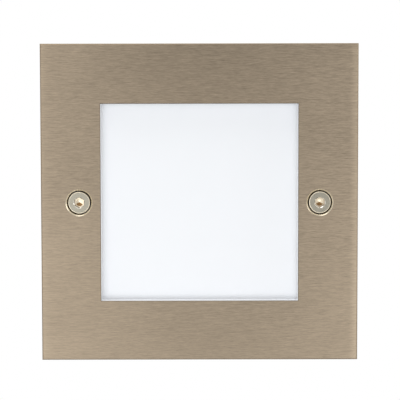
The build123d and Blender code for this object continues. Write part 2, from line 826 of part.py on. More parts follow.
with BuildPart() as gland_slip_ring:
    rod(gland_bush_radius, bush_back, slip_ring_back, gland_places)
    rod(gland_bore, bush_back, slip_ring_back, gland_places, Mode.SUBTRACT)

with BuildPart() as gland_nut:
    barrel = gland_flats / 2
    profile = [
        (0, nut_front),
        (barrel, nut_front),
        (barrel, nut_shoulder),
        (barrel - gland_nut_shoulder, nut_shoulder + gland_nut_shoulder_length),
        (gland_bore + gland_nut_nose_wall, nut_back),
        (0, nut_back),
    ]
    turned(profile, 0, gland_height)
    hexagon(gland_flats, nut_front, nut_shoulder, gland_places)
    rod(nut_bore, nut_front, nut_seat, gland_places, Mode.SUBTRACT)
    rod(gland_bore, nut_seat, nut_back, gland_places, Mode.SUBTRACT)


# ---------------------------------------------------------------- face screws
def face_screw(x):
    """A socket screw with its head flush in the faceplate and its tip behind the insert."""
    profile = [
        (0, head_top),
        (face_head_radius - face_head_chamfer, head_top),
        (face_head_radius, head_top + face_head_chamfer),
        (face_head_radius, head_seat),
        (face_screw_radius, head_seat),
        (face_screw_radius, screw_tip - face_tip_chamfer),
        (face_screw_radius - face_tip_chamfer, screw_tip),
        (0, screw_tip),
    ]
    turned(profile, x, 0)
    key_floor = head_top + face_key_depth
    hexagon(face_key_flats, head_top, key_floor, [(x, 0)], Mode.SUBTRACT)
    with Locations(Plane(origin=(x, key_floor, 0), z_dir=(0, 1, 0))):
        drill_point = (Align.CENTER, Align.CENTER, Align.MIN)
        Cone(face_key_flats / 2, 0, face_key_flats / 4, align=drill_point, mode=Mode.SUBTRACT)


def face_washer(x):
    """The sealing washer that stays on a face screw, under its head."""
    back = head_seat + face_washer_thickness
    rod(face_washer_radius, head_seat, back, [(x, 0)])
    rod(face_washer_bore, head_seat, back, [(x, 0)], Mode.SUBTRACT)


with BuildPart() as left_face_screw:
    face_screw(-screw_x)

with BuildPart() as right_face_screw:
    face_screw(screw_x)

with BuildPart() as left_screw_washer:
    face_washer(-screw_x)

with BuildPart() as right_screw_washer:
    face_washer(screw_x)

# ---------------------------------------------------------------- recess box
knockout_y = box_back_inner - knockout_back_gap - knockout_radius
fixing_places = corners(fixing_spacing / 2)
boss_web = box_inner / 2 - screw_x + box_wall / 2

with BuildPart() as recess_box:
    slab(box_flange_size, box_flange_size, box_flange_front, wall_y, box_corner)
    slab(box_outer, box_outer, wall_y, box_back, box_corner)
    rib_size = box_outer + 2 * box_rib_height
    for n in range(box_ribs):
        rib_front = wall_y + box_rib_margin + n * box_rib_pitch
        slab(rib_size, rib_size, rib_front, rib_front + box_rib_width, box_corner)
    inner_corner = box_corner - box_wall
    slab(box_inner, box_inner, box_flange_front, box_back_inner, inner_corner, mode=Mode.SUBTRACT)
    # bosses for the face screws, with webs to the side walls
    webs = [(side * (screw_x + boss_web / 2), 0) for side in (-1, 1)]
    slab(boss_web, 2 * boss_radius, boss_front, boss_back, places=webs)
    rod(boss_radius, boss_front, boss_back, ear_places)
    rod(insert_radius + insert_fit, boss_front, insert_back, ear_places, Mode.SUBTRACT)
    rod(face_screw_radius + tip_clearance, insert_back, screw_tip + tip_clearance, ear_places, Mode.SUBTRACT)
    # fixing holes and the conduit entry, through the back
    rod(fixing_hole_radius, box_back_inner, box_back, fixing_places, Mode.SUBTRACT)
    rod(adaptor_neck_radius + adaptor_neck_fit, box_back_inner, box_back, gland_places, Mode.SUBTRACT)
    # a knock-out in each side wall: a round groove that leaves a thin web
    for plane, place in ((Plane.YZ, (knockout_y, 0)), (Plane.XY, (0, knockout_y))):
        for side in (-1, 1):
            with BuildSketch(plane.offset(side * box_outer / 2)) as groove:
                with Locations(place):
                    Circle(knockout_radius)
                    Circle(knockout_radius - knockout_groove, mode=Mode.SUBTRACT)
            extrude(groove.sketch, amount=box_wall - knockout_web, both=True, mode=Mode.SUBTRACT)

with BuildPart() as threaded_inserts:
    rod(insert_radius, boss_front, insert_back, ear_places)
    for share in (1 / 3, 2 / 3):
        groove_front = boss_front + insert_length * share - insert_groove_width / 2
        with BuildSketch(across(groove_front + insert_groove_width)) as groove:
            with Locations(*ear_places):
                Circle(insert_radius)
                Circle(insert_radius - insert_groove_depth, mode=Mode.SUBTRACT)
        extrude(groove.sketch, amount=insert_groove_width, mode=Mode.SUBTRACT)
    rod(face_screw_radius + thread_clearance, boss_front, insert_back, ear_places, Mode.SUBTRACT)

# ---------------------------------------------------------------- conduit adaptor
socket_front = box_back + adaptor_flange_thickness + conduit_stop
adaptor_back = socket_front + conduit_socket_length
adaptor_nut_front = box_back_inner - adaptor_locknut_thickness

with BuildPart() as conduit_adaptor:
    rod(adaptor_neck_radius, neck_front, box_back, gland_places)
    rod(adaptor_flange_radius, box_back, box_back + adaptor_flange_thickness, gland_places)
    rod(conduit_radius + conduit_wall, box_back, adaptor_back, gland_places)
    rod(adaptor_neck_radius - adaptor_neck_wall, neck_front, socket_front, gland_places, Mode.SUBTRACT)
    rod(conduit_radius, socket_front, adaptor_back, gland_places, Mode.SUBTRACT)

with BuildPart() as adaptor_locknut:
    hexagon(adaptor_locknut_flats, adaptor_nut_front, box_back_inner, gland_places)
    rod(adaptor_neck_radius + shank_clearance, adaptor_nut_front, box_back_inner, gland_places, Mode.SUBTRACT)

# ---------------------------------------------------------------- labels and files
pieces = {
    "faceplate": faceplate,
    "face_gasket": face_gasket,
    "front_seal": front_seal,
    "diffuser": diffuser,
    "rear_seal": rear_seal,
    "housing": housing,
    "bezel_screws": bezel_screws,
    "reflector_tray": reflector_tray,
    "lamp_board": lamp_board,
    "lamp_chips": lamp_chips,
    "lamp_connector": lamp_connector,
    "lamp_board_screws": lamp_board_screws,
    "thermal_pad": thermal_pad,
    "lead_grommet": lead_grommet,
    "lamp_lead_positive": lamp_lead_positive,
    "lamp_lead_negative": lamp_lead_negative,
    "driver_board": driver_board,
    "driver_screws": driver_screws,
    "transformer_core": transformer_core,
    "transformer_winding": transformer_winding,
    "transformer_bobbin": transformer_bobbin,
    "input_capacitor": input_capacitor,
    "output_capacitor": output_capacitor,
    "safety_capacitor": safety_capacitor,
    "filter_choke": filter_choke,
    "rectifier": rectifier,
    "control_chip": control_chip,
    "terminal_block": terminal_block,
    "terminal_block_screws": terminal_block_screws,
    "terminal_clamps": terminal_clamps,
    "terminal_screws": terminal_screws,
    "earth_tag": earth_tag,
    "earth_screw": earth_screw,
    "live_wire": live_wire,
    "neutral_wire": neutral_wire,
    "earth_wire": earth_wire,
    "rear_gasket": rear_gasket,
    "rear_cover": rear_cover,
    "rear_cover_screws": rear_cover_screws,
    "gland_washer": gland_washer,
    "gland_body": gland_body,
    "gland_locknut": gland_locknut,
    "gland_bush": gland_bush,
    "gland_slip_ring": gland_slip_ring,
    "gland_nut": gland_nut,
    "left_face_screw": left_face_screw,
    "right_face_screw": right_face_screw,
    "left_screw_washer": left_screw_washer,
    "right_screw_washer": right_screw_washer,
    "recess_box": recess_box,
    "threaded_inserts": threaded_inserts,
    "conduit_adaptor": conduit_adaptor,
    "adaptor_locknut": adaptor_locknut,
}

os.makedirs("parts", exist_ok=True)
for name, piece in pieces.items():
    piece.part.label = name
    export_step(piece.part, f"parts/{name}.step")
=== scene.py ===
import json
import math

import bmesh
import bpy
from mathutils import Matrix, Vector


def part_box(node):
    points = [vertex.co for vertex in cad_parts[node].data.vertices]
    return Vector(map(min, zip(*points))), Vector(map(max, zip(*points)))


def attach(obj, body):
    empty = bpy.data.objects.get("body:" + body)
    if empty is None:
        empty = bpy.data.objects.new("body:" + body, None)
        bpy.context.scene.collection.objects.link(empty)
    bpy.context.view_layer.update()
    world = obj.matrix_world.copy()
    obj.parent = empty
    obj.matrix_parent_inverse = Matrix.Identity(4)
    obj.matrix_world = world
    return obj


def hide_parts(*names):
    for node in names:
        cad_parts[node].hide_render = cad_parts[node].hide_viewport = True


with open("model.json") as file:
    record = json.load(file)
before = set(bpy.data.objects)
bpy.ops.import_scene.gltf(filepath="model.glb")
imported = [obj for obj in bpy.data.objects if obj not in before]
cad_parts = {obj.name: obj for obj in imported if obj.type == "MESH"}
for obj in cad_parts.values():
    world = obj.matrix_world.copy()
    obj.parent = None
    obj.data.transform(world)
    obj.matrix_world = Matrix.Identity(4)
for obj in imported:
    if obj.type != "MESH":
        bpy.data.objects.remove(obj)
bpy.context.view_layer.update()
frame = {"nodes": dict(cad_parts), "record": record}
scene = bpy.context.scene
nodes = frame["nodes"]
bodyOf = {node: body for body, names in frame["record"]["behaviour"]["bodies"].items() for node in names}
slotOf = {row["node"]: row["material_slot"] for row in frame["record"]["subparts"]}
mm = 0.001
print("frame loaded,", len(nodes), "nodes")

# camera, at the photograph's distance and height
cameraSet = {
    "distance": 0.5,
    "elevation": 4.07,
    "pixelsPerMetre": 3170.0,
    "pictureSize": 400,
    "sensor": 36.0,
    "aimRight": 0.16 * mm,
    "aimUp": 0.82 * mm,
    "roll": -0.105,
    "nearest": 0.01,
    "farthest": 50.0,
}


def makeCamera(s):
    front = Vector((0.0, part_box("faceplate")[0].y, 0.0))
    tilt = math.radians(s["elevation"])
    back = Vector((0.0, -math.cos(tilt), math.sin(tilt)))
    upward = Vector((0.0, math.sin(tilt), math.cos(tilt)))
    data = bpy.data.cameras.new("camera")
    data.sensor_width = s["sensor"]
    data.lens = s["pixelsPerMetre"] * s["distance"] * s["sensor"] / s["pictureSize"]
    data.clip_start, data.clip_end = s["nearest"], s["farthest"]
    camera = bpy.data.objects.new("camera", data)
    scene.collection.objects.link(camera)
    place = front + back * s["distance"]
    target = front + Vector((s["aimRight"], 0, 0)) + upward * s["aimUp"]
    look = (target - place).to_track_quat("-Z", "Y").to_matrix().to_4x4()
    camera.matrix_world = Matrix.Translation(place) @ look @ Matrix.Rotation(math.radians(s["roll"]), 4, "Z")
    scene.camera = camera


makeCamera(cameraSet)
print("camera placed")


# steps that build a node tree
def newNode(tree, kind, **settings):
    node = tree.nodes.new(kind)
    for label, value in settings.items():
        setattr(node, label, value)
    return node


def link(tree, start, end):
    # joins two sockets, or sets the second where the first is a plain value
    if isinstance(start, bpy.types.NodeSocket):
        tree.links.new(start, end)
    else:
        end.default_value = start


def mathNode(tree, operation, *values):
    node = newNode(tree, "ShaderNodeMath", operation=operation)
    for value, socket in zip(values, node.inputs):
        link(tree, value, socket)
    return node.outputs[0]


def swung(tree, value, amount, base):
    # base, moved by how far value is above or below a half
    return mathNode(tree, "MULTIPLY_ADD", mathNode(tree, "SUBTRACT", value, 0.5), amount, base)


def scaled(tree, colour, amount):
    node = newNode(tree, "ShaderNodeVectorMath", operation="SCALE")
    link(tree, colour, node.inputs[0])
    link(tree, amount, node.inputs["Scale"])
    return node.outputs[0]


def lengthOf(tree, vector):
    node = newNode(tree, "ShaderNodeVectorMath", operation="LENGTH")
    link(tree, vector, node.inputs[0])
    return node.outputs["Value"]


def ramp(tree, value, start, end, low=0.0, high=1.0):
    # a smooth step from low to high between two values
    node = newNode(tree, "ShaderNodeMapRange", interpolation_type="SMOOTHSTEP")
    for label, number in (("From Min", start), ("From Max", end), ("To Min", low), ("To Max", high)):
        node.inputs[label].default_value = number
    link(tree, value, node.inputs["Value"])
    return node.outputs["Result"]


def stretch(tree, vector, scale):
    mapping = newNode(tree, "ShaderNodeMapping")
    mapping.inputs["Scale"].default_value = scale
    link(tree, vector, mapping.inputs["Vector"])
    return mapping.outputs["Vector"]


def noiseNode(tree, vector, scale, detail=3.0, rough=0.55, distortion=0.0):
    # a scale of three numbers gives the noise one along each axis
    if isinstance(scale, tuple):
        vector, scale = stretch(tree, vector, scale), 1.0
    noise = newNode(tree, "ShaderNodeTexNoise")
    values = {"Scale": scale, "Detail": detail, "Roughness": rough, "Distortion": distortion}
    for label, value in values.items():
        link(tree, value, noise.inputs[label])
    link(tree, vector, noise.inputs["Vector"])
    return noise.outputs["Fac"]


def voronoiNode(tree, vector, scale, **settings):
    cells = newNode(tree, "ShaderNodeTexVoronoi", **settings)
    link(tree, scale, cells.inputs["Scale"])
    link(tree, vector, cells.inputs["Vector"])
    return cells.outputs["Distance"]


def mixShader(tree, share, first, second):
    mix = newNode(tree, "ShaderNodeMixShader")
    for value, socket in zip((share, first, second), mix.inputs):
        link(tree, value, socket)
    return mix.outputs[0]


def seenDirectly(tree):
    # one for rays from the camera, a gloss or a clear piece, so that they all see plain white
    path = newNode(tree, "ShaderNodeLightPath")
    sharp = mathNode(tree, "MAXIMUM", path.outputs["Is Camera Ray"], path.outputs["Is Glossy Ray"])
    return mathNode(tree, "MAXIMUM", sharp, path.outputs["Is Transmission Ray"])


# floor, world and lights
roomSet = {
    "floorHeight": -0.26,
    "floorSize": 6.0,
    "floorColour": (0.86, 0.86, 0.855, 1),
    "floorRoughness": 0.9,
    "fadeStart": 0.24,
    "fadeEnd": 0.42,
    "ambient": 0.7,
    "backdrop": 1.0,
}
lights = [
    {"name": "lowFrontSoft", "place": (-0.05, -0.56, -0.175), "size": (0.6, 0.12), "power": 0.48},
    {"name": "leftFrontSoft", "place": (-0.2, -0.62, 0.0), "size": (0.25, 0.25), "power": 0.3},
    {"name": "overheadSoft", "place": (-0.2, -0.25, 0.9), "size": (0.6, 0.6), "power": 2.2},
    {"name": "rightSoft", "place": (0.85, -0.1, 0.3), "size": (0.5, 0.5), "power": 1.5},
    {"name": "backSoft", "place": (0.3, 0.9, 0.55), "size": (0.5, 0.5), "power": 2.5},
]


def makeWorld(s):
    world = bpy.data.worlds.new("studio")
    scene.world = world
    world.use_nodes = True
    tree = world.node_tree
    tree.nodes.clear()
    grounds = []
    for strength in (s["ambient"], s["backdrop"]):
        ground = newNode(tree, "ShaderNodeBackground")
        ground.inputs["Color"].default_value = (1, 1, 1, 1)
        ground.inputs["Strength"].default_value = strength
        grounds.append(ground.outputs[0])
    out = newNode(tree, "ShaderNodeOutputWorld")
    link(tree, mixShader(tree, seenDirectly(tree), *grounds), out.inputs[0])


def makeFloor(s):
    bpy.ops.object.select_all(action="DESELECT")
    bpy.ops.mesh.primitive_plane_add(size=s["floorSize"], location=(0, 0, s["floorHeight"]))
    floor = bpy.context.object
    floor.name = "floor"
    material = bpy.data.materials.new("paleFloor")
    material.use_nodes = True
    tree = material.node_tree
    shader = tree.nodes["Principled BSDF"]
    shader.inputs["Base Color"].default_value = s["floorColour"]
    shader.inputs["Roughness"].default_value = s["floorRoughness"]
    coords = newNode(tree, "ShaderNodeTexCoord")
    white = newNode(tree, "ShaderNodeEmission")
    white.inputs["Strength"].default_value = s["backdrop"]
    fade = ramp(tree, lengthOf(tree, coords.outputs["Object"]), s["fadeStart"], s["fadeEnd"])
    share = mathNode(tree, "MULTIPLY", fade, seenDirectly(tree))
    surface = mixShader(tree, share, shader.outputs[0], white.outputs[0])
    link(tree, surface, tree.nodes["Material Output"].inputs["Surface"])
    floor.data.materials.append(material)


def makeLight(s):
    data = bpy.data.lights.new(s["name"], "AREA")
    data.shape = "RECTANGLE"
    data.size, data.size_y = s["size"]
    data.energy = s["power"]
    lamp = bpy.data.objects.new(s["name"], data)
    scene.collection.objects.link(lamp)
    place = Vector(s["place"])
    lamp.location = place
    lamp.rotation_euler = (-place).to_track_quat("-Z", "Y").to_euler()


makeWorld(roomSet)
makeFloor(roomSet)
for lightSet in lights:
    makeLight(lightSet)
scene.view_settings.view_transform = "Standard"
print("floor, world and", len(lights), "lights placed")

# surface effects that several materials share; their scales are in features a metre
groups = {}


def newGroup(name, **own):
    # a shader group from a vector, a colour and some numbers to a colour, a roughness and a height
    tree = bpy.data.node_groups.new(name, "ShaderNodeTree")
    groups[name] = tree
    tree.interface.new_socket("Vector", in_out="INPUT", socket_type="NodeSocketVector")
    tree.interface.new_socket("Colour", in_out="INPUT", socket_type="NodeSocketColor")
    for label, default in {"Tone": 0.2, "Roughness": 0.4, "Spread": 0.1, **own}.items():
        socket = tree.interface.new_socket(label, in_out="INPUT", socket_type="NodeSocketFloat")
        socket.default_value = default
    tree.interface.new_socket("Colour", in_out="OUTPUT", socket_type="NodeSocketColor")
    for label in ("Roughness", "Height"):
        tree.interface.new_socket(label, in_out="OUTPUT", socket_type="NodeSocketFloat")
    return tree, newNode(tree, "NodeGroupInput").outputs, newNode(tree, "NodeGroupOutput").inputs


def giveResults(tree, given, made, tone, wear, height):
    # the colour goes lighter and darker with tone, and the roughness up and down with wear
    link(tree, scaled(tree, given["Colour"], swung(tree, tone, given["Tone"], 1.0)), made["Colour"])
    link(tree, swung(tree, wear, given["Spread"], given["Roughness"]), made["Roughness"])
    link(tree, height, made["Height"])


brushedSet = {
    "wave": (40, 40, 40), "drift": 0.2 * mm,
    "long": (120, 4400, 4400), "longRough": 0.7, "longShare": 0.8, "longBase": 0.1,
    "fine": (450, 5400, 5400), "fineRough": 0.75, "fineShare": 1.2,
    "cloud": (14, 30, 30), "cloudShare": 0.35,
}


def makeBrushedGrain(s):
    # long fine scratches along X, as a belt leaves them, slightly wavy
    tree, given, made = newGroup("brushedGrain")
    vector = given["Vector"]
    drift = newNode(tree, "ShaderNodeCombineXYZ")
    wave = noiseNode(tree, vector, s["wave"], detail=1.0)
    link(tree, mathNode(tree, "MULTIPLY", wave, s["drift"]), drift.inputs["Z"])
    moved = newNode(tree, "ShaderNodeVectorMath")
    link(tree, vector, moved.inputs[0])
    link(tree, drift.outputs[0], moved.inputs[1])
    long = noiseNode(tree, moved.outputs[0], s["long"], rough=s["longRough"])
    fine = noiseNode(tree, moved.outputs[0], s["fine"], rough=s["fineRough"])
    cloud = noiseNode(tree, vector, s["cloud"], detail=2.0)
    base = mathNode(tree, "MULTIPLY_ADD", long, s["longShare"], s["longBase"])
    streaks = swung(tree, fine, s["fineShare"], base)
    giveResults(tree, given, made, swung(tree, cloud, s["cloudShare"], streaks), streaks, streaks)


turnedSet = {"mottle": (900, 900, 900), "mottleRough": 0.65, "mottleShare": 0.9}


def makeTurnedGrain(s):
    # fine rings round the vector's Y axis, as a lathe leaves them
    tree, given, made = newGroup("turnedGrain", Rings=5000.0)
    vector = given["Vector"]
    parts = newNode(tree, "ShaderNodeSeparateXYZ")
    link(tree, vector, parts.inputs[0])
    ring = newNode(tree, "ShaderNodeCombineXYZ")
    reach = lengthOf(tree, stretch(tree, vector, (1, 0, 1)))
    link(tree, mathNode(tree, "MULTIPLY", reach, given["Rings"]), ring.inputs["X"])
    link(tree, mathNode(tree, "MULTIPLY", parts.outputs["Y"], given["Rings"]), ring.inputs["Y"])
    rings = noiseNode(tree, ring.outputs[0], 1.0, detail=2.0)
    mottle = noiseNode(tree, vector, s["mottle"], rough=s["mottleRough"])
    tone = swung(tree, mottle, s["mottleShare"], rings)
    giveResults(tree, given, made, tone, tone, rings)


mouldedSet = {"mottle": 90.0, "grainShare": 0.5}


def makeMouldedGrain(s):
    # the fine even grain of a moulded or rubber skin, with a faint broad mottle
    tree, given, made = newGroup("mouldedGrain", Scale=3000.0)
    grain = noiseNode(tree, given["Vector"], given["Scale"], detail=2.0)
    mottle = noiseNode(tree, given["Vector"], s["mottle"])
    giveResults(tree, given, made, swung(tree, grain, s["grainShare"], mottle), mottle, grain)


castSet = {
    "peelRough": 0.6, "peelShare": 0.5,
    "pitScale": 0.35, "pitSpread": 5.0, "pitDepth": 0.35,
    "flow": (40, 25, 40), "flowDetail": 4.0, "flowRough": 0.6, "flowTwist": 0.6,
}


def makeCastGrain(s):
    # the orange-peel skin of a casting or a powder coat, with small pits
    tree, given, made = newGroup("castGrain", Scale=1600.0)
    vector = given["Vector"]
    peel = noiseNode(tree, vector, given["Scale"], rough=s["peelRough"])
    pits = voronoiNode(tree, vector, mathNode(tree, "MULTIPLY", given["Scale"], s["pitScale"]))
    pit = mathNode(tree, "MINIMUM", mathNode(tree, "MULTIPLY", pits, s["pitSpread"]), 1.0)
    flow = noiseNode(tree, vector, s["flow"], s["flowDetail"], s["flowRough"], s["flowTwist"])
    height = mathNode(tree, "MULTIPLY_ADD", pit, s["pitDepth"], peel)
    giveResults(tree, given, made, swung(tree, peel, s["peelShare"], flow), flow, height)


boardSet = {"pitch": 0.12, "trackStart": 0.075, "trackTone": 0.9, "weave": 3500.0, "weaveShare": 0.4}


def makeBoardTracks(s):
    # a circuit board's solder mask, with tracks and pads under it showing a little lighter and raised
    tree, given, made = newGroup("boardTracks", Scale=260.0)
    runs = voronoiNode(tree, given["Vector"], given["Scale"], feature="F1", distance="CHEBYCHEV")
    track = mathNode(tree, "GREATER_THAN", mathNode(tree, "PINGPONG", runs, s["pitch"]), s["trackStart"])
    weave = noiseNode(tree, given["Vector"], s["weave"], detail=2.0)
    tone = swung(tree, weave, s["weaveShare"], mathNode(tree, "MULTIPLY", track, s["trackTone"]))
    giveResults(tree, given, made, tone, weave, track)


makeBrushedGrain(brushedSet)
makeTurnedGrain(turnedSet)
makeMouldedGrain(mouldedSet)
makeCastGrain(castSet)
makeBoardTracks(boardSet)
print("surface effects made,", len(groups))


def rgb(red, green, blue):
    # a colour as it looks on a screen, 0 to 255, as the linear values that Blender uses
    def linear(value):
        share = value / 255
        return share / 12.92 if share <= 0.04045 else ((share + 0.055) / 1.055) ** 2.4
    return (linear(red), linear(green), linear(blue), 1.0)


# one row for each finish: its pattern, the depth of its relief in millimetres, the pattern's own values,
# and the shader's fixed values
bareMetal = {"Metallic": 1.0}
wireSkin = {"Tone": 0.12, "Roughness": 0.35, "Spread": 0.1}
finishes = {
    "faceplateSteel": {"pattern": "brushedGrain", "colour": rgb(129, 117, 101), "relief": 0.005,
                       "values": {"Tone": 0.95, "Roughness": 0.4, "Spread": 0.2}, "shader": bareMetal},
    "cutEdge": {"pattern": "brushedGrain", "colour": rgb(138, 122, 101), "relief": 0.01,
                "values": {"Tone": 0.5, "Roughness": 0.42, "Spread": 0.2}, "shader": bareMetal},
    # the hexagon socket's lead-in, painted near white as a painted highlight
    "keyLead": {"pattern": "castGrain", "colour": rgb(236, 232, 222), "relief": 0.002,
                "values": {"Tone": 0.5, "Roughness": 0.2, "Spread": 0.1}, "shader": bareMetal},
    # the hexagon socket's walls, painted dark brown as painted shade in the recess
    "keyWall": {"pattern": "castGrain", "colour": rgb(120, 92, 60), "relief": 0.01,
                "values": {"Tone": 0.5, "Roughness": 0.3, "Spread": 0.2}, "shader": bareMetal},
    # the socket's floor, painted pale as a painted highlight
    "keyFloor": {"pattern": "castGrain", "colour": rgb(194, 182, 160), "relief": 0.01,
                 "values": {"Tone": 0.5, "Roughness": 0.18, "Spread": 0.2}, "shader": bareMetal},
    # the window's steel walls are painted near white, a painted reflection of the diffuser
    "windowWall": {"pattern": "castGrain", "colour": rgb(248, 249, 252), "relief": 0.001,
                   "values": {"Tone": 0.06, "Roughness": 0.25, "Spread": 0.1}, "shader": {"Metallic": 0.1}},
    # the window's rim is painted dark, a painted shade line where the plate meets the window
    "windowRim": {"pattern": "brushedGrain", "colour": rgb(96, 84, 66), "relief": 0.004,
                  "values": {"Tone": 0.3, "Roughness": 0.45, "Spread": 0.2}, "shader": bareMetal},
    # machined edges, smoother, with a painted highlight: the countersink rings and the screw heads' rims
    "machinedEdge": {"pattern": "castGrain", "colour": rgb(212, 202, 182), "relief": 0.002,
                     "values": {"Tone": 0.12, "Roughness": 0.25, "Spread": 0.1}, "shader": bareMetal},
    "smallScrewSteel": {"pattern": "castGrain", "colour": rgb(196, 199, 202), "relief": 0.004,
                        "values": {"Tone": 0.2, "Roughness": 0.3, "Spread": 0.25}, "shader": bareMetal},
    # the diffuser's faint emission is a painted glow, not lamp light, that lifts it evenly and softens the
    # shade near the window's edges
    "opalAcrylic": {"pattern": "mouldedGrain", "colour": (0.81, 0.825, 0.85, 1), "relief": 0.001,
                    "values": {"Tone": 0.012, "Roughness": 0.3, "Spread": 0.04, "Scale": 900.0},
                    "shader": {"IOR": 1.49, "Emission Color": (0.9, 0.95, 1.0, 1),
                               "Emission Strength": 0.08}},
    "siliconeWhite": {"pattern": "mouldedGrain", "colour": rgb(244, 246, 248), "relief": 0.01,
                      "values": {"Tone": 0.06, "Roughness": 0.55, "Spread": 0.1, "Scale": 2500.0},
                      "shader": {"IOR": 1.41}},
    "gasketBlack": {"pattern": "mouldedGrain", "colour": rgb(34, 34, 36), "relief": 0.04,
                    "values": {"Tone": 0.5, "Roughness": 0.75, "Spread": 0.2, "Scale": 4000.0}},
    "castAluminium": {"pattern": "castGrain", "colour": rgb(176, 178, 180), "relief": 0.03,
                      "values": {"Tone": 0.28, "Roughness": 0.5, "Spread": 0.25, "Scale": 1500.0},
                      "shader": bareMetal},
    "coverPaint": {"pattern": "castGrain", "colour": rgb(70, 72, 74), "relief": 0.05,
                   "values": {"Tone": 0.25, "Roughness": 0.48, "Spread": 0.15, "Scale": 2400.0}},
    "trayWhite": {"pattern": "mouldedGrain", "colour": rgb(240, 240, 238), "relief": 0.004,
                  "values": {"Tone": 0.012, "Roughness": 0.32, "Spread": 0.03, "Scale": 1500.0}},
    "boardWhite": {"pattern": "boardTracks", "colour": rgb(228, 230, 228), "relief": 0.02,
                   "values": {"Tone": 0.035, "Roughness": 0.45, "Spread": 0.1, "Scale": 130.0}},
    "boardGreen": {"pattern": "boardTracks", "colour": rgb(20, 84, 46), "relief": 0.03,
                   "values": {"Tone": 0.8, "Roughness": 0.35, "Spread": 0.15, "Scale": 260.0},
                   "shader": {"Coat Weight": 0.3}},
    "chipFrame": {"pattern": "mouldedGrain", "colour": rgb(240, 238, 230), "relief": 0.004,
                  "values": {"Tone": 0.04, "Roughness": 0.4, "Spread": 0.1, "Scale": 6000.0}},
    "canTop": {"pattern": "castGrain", "colour": rgb(172, 174, 177), "relief": 0.004,
               "values": {"Tone": 0.25, "Roughness": 0.35, "Spread": 0.2, "Scale": 4000.0},
               "shader": bareMetal},
    "sleeveStripe": {"pattern": "mouldedGrain", "colour": rgb(176, 182, 190), "relief": 0.01,
                     "values": {"Tone": 0.06, "Roughness": 0.25, "Spread": 0.1, "Scale": 900.0},
                     "shader": {"Coat Weight": 0.3}},
    "enamelCopper": {"pattern": "turnedGrain", "colour": rgb(196, 112, 62), "relief": 0.004,
                     "values": {"Tone": 0.25, "Roughness": 0.28, "Spread": 0.2},
                     "shader": {"Metallic": 1.0, "Coat Weight": 0.4}},
    "chipYellow": {"pattern": "mouldedGrain", "colour": rgb(238, 205, 78), "relief": 0.01,
                   "values": {"Tone": 0.2, "Roughness": 0.3, "Spread": 0.1, "Scale": 5000.0}},
    "connectorCream": {"pattern": "mouldedGrain", "colour": rgb(226, 218, 192), "relief": 0.01,
                       "values": {"Tone": 0.1, "Roughness": 0.45, "Spread": 0.1}},
    "padGrey": {"pattern": "mouldedGrain", "colour": rgb(128, 134, 140), "relief": 0.02,
                "values": {"Tone": 0.15, "Roughness": 0.7, "Spread": 0.1}},
    "componentBlack": {"pattern": "mouldedGrain", "colour": rgb(34, 34, 34), "relief": 0.03,
                       "values": {"Tone": 0.4, "Roughness": 0.55, "Spread": 0.15, "Scale": 5000.0}},
    "ferriteGrey": {"pattern": "castGrain", "colour": rgb(66, 66, 70), "relief": 0.03,
                    "values": {"Tone": 0.4, "Roughness": 0.6, "Spread": 0.2, "Scale": 2500.0}},
    "tapeYellow": {"pattern": "mouldedGrain", "colour": rgb(226, 178, 46), "relief": 0.01,
                   "values": {"Tone": 0.15, "Roughness": 0.22, "Spread": 0.1, "Scale": 700.0},
                   "shader": {"Coat Weight": 0.4}},
    "capacitorSleeve": {"pattern": "mouldedGrain", "colour": rgb(34, 44, 78), "relief": 0.01,
                        "values": {"Tone": 0.2, "Roughness": 0.25, "Spread": 0.1, "Scale": 900.0},
                        "shader": {"Coat Weight": 0.3}},
    "filmBlue": {"pattern": "castGrain", "colour": rgb(44, 84, 168), "relief": 0.01,
                 "values": {"Tone": 0.2, "Roughness": 0.25, "Spread": 0.1, "Scale": 900.0},
                 "shader": {"Coat Weight": 0.5}},
    "terminalGrey": {"pattern": "mouldedGrain", "colour": rgb(198, 200, 196), "relief": 0.02,
                     "values": {"Tone": 0.1, "Roughness": 0.5, "Spread": 0.1}},
    "clampBrass": {"pattern": "turnedGrain", "colour": rgb(214, 178, 96), "relief": 0.004,
                   "values": {"Tone": 0.3, "Roughness": 0.3, "Spread": 0.2}, "shader": bareMetal},
    "wireBrown": {"pattern": "mouldedGrain", "colour": rgb(104, 62, 36), "relief": 0.01, "values": wireSkin},
    "wireBlue": {"pattern": "mouldedGrain", "colour": rgb(36, 92, 190), "relief": 0.01, "values": wireSkin},
    "wireEarth": {"pattern": "mouldedGrain", "colour": rgb(44, 132, 56), "relief": 0.01, "values": wireSkin},
    "wireRed": {"pattern": "mouldedGrain", "colour": rgb(184, 30, 26), "relief": 0.01, "values": wireSkin},
    "wireBlack": {"pattern": "mouldedGrain", "colour": rgb(28, 28, 28), "relief": 0.01,
                  "values": {"Tone": 0.3, "Roughness": 0.35, "Spread": 0.1}},
    "boxBlack": {"pattern": "mouldedGrain", "colour": rgb(52, 53, 56), "relief": 0.05,
                 "values": {"Tone": 0.3, "Roughness": 0.5, "Spread": 0.2, "Scale": 2200.0}},
    "conduitGrey": {"pattern": "mouldedGrain", "colour": rgb(120, 123, 126), "relief": 0.02,
                    "values": {"Tone": 0.12, "Roughness": 0.42, "Spread": 0.15, "Scale": 1800.0}},
}


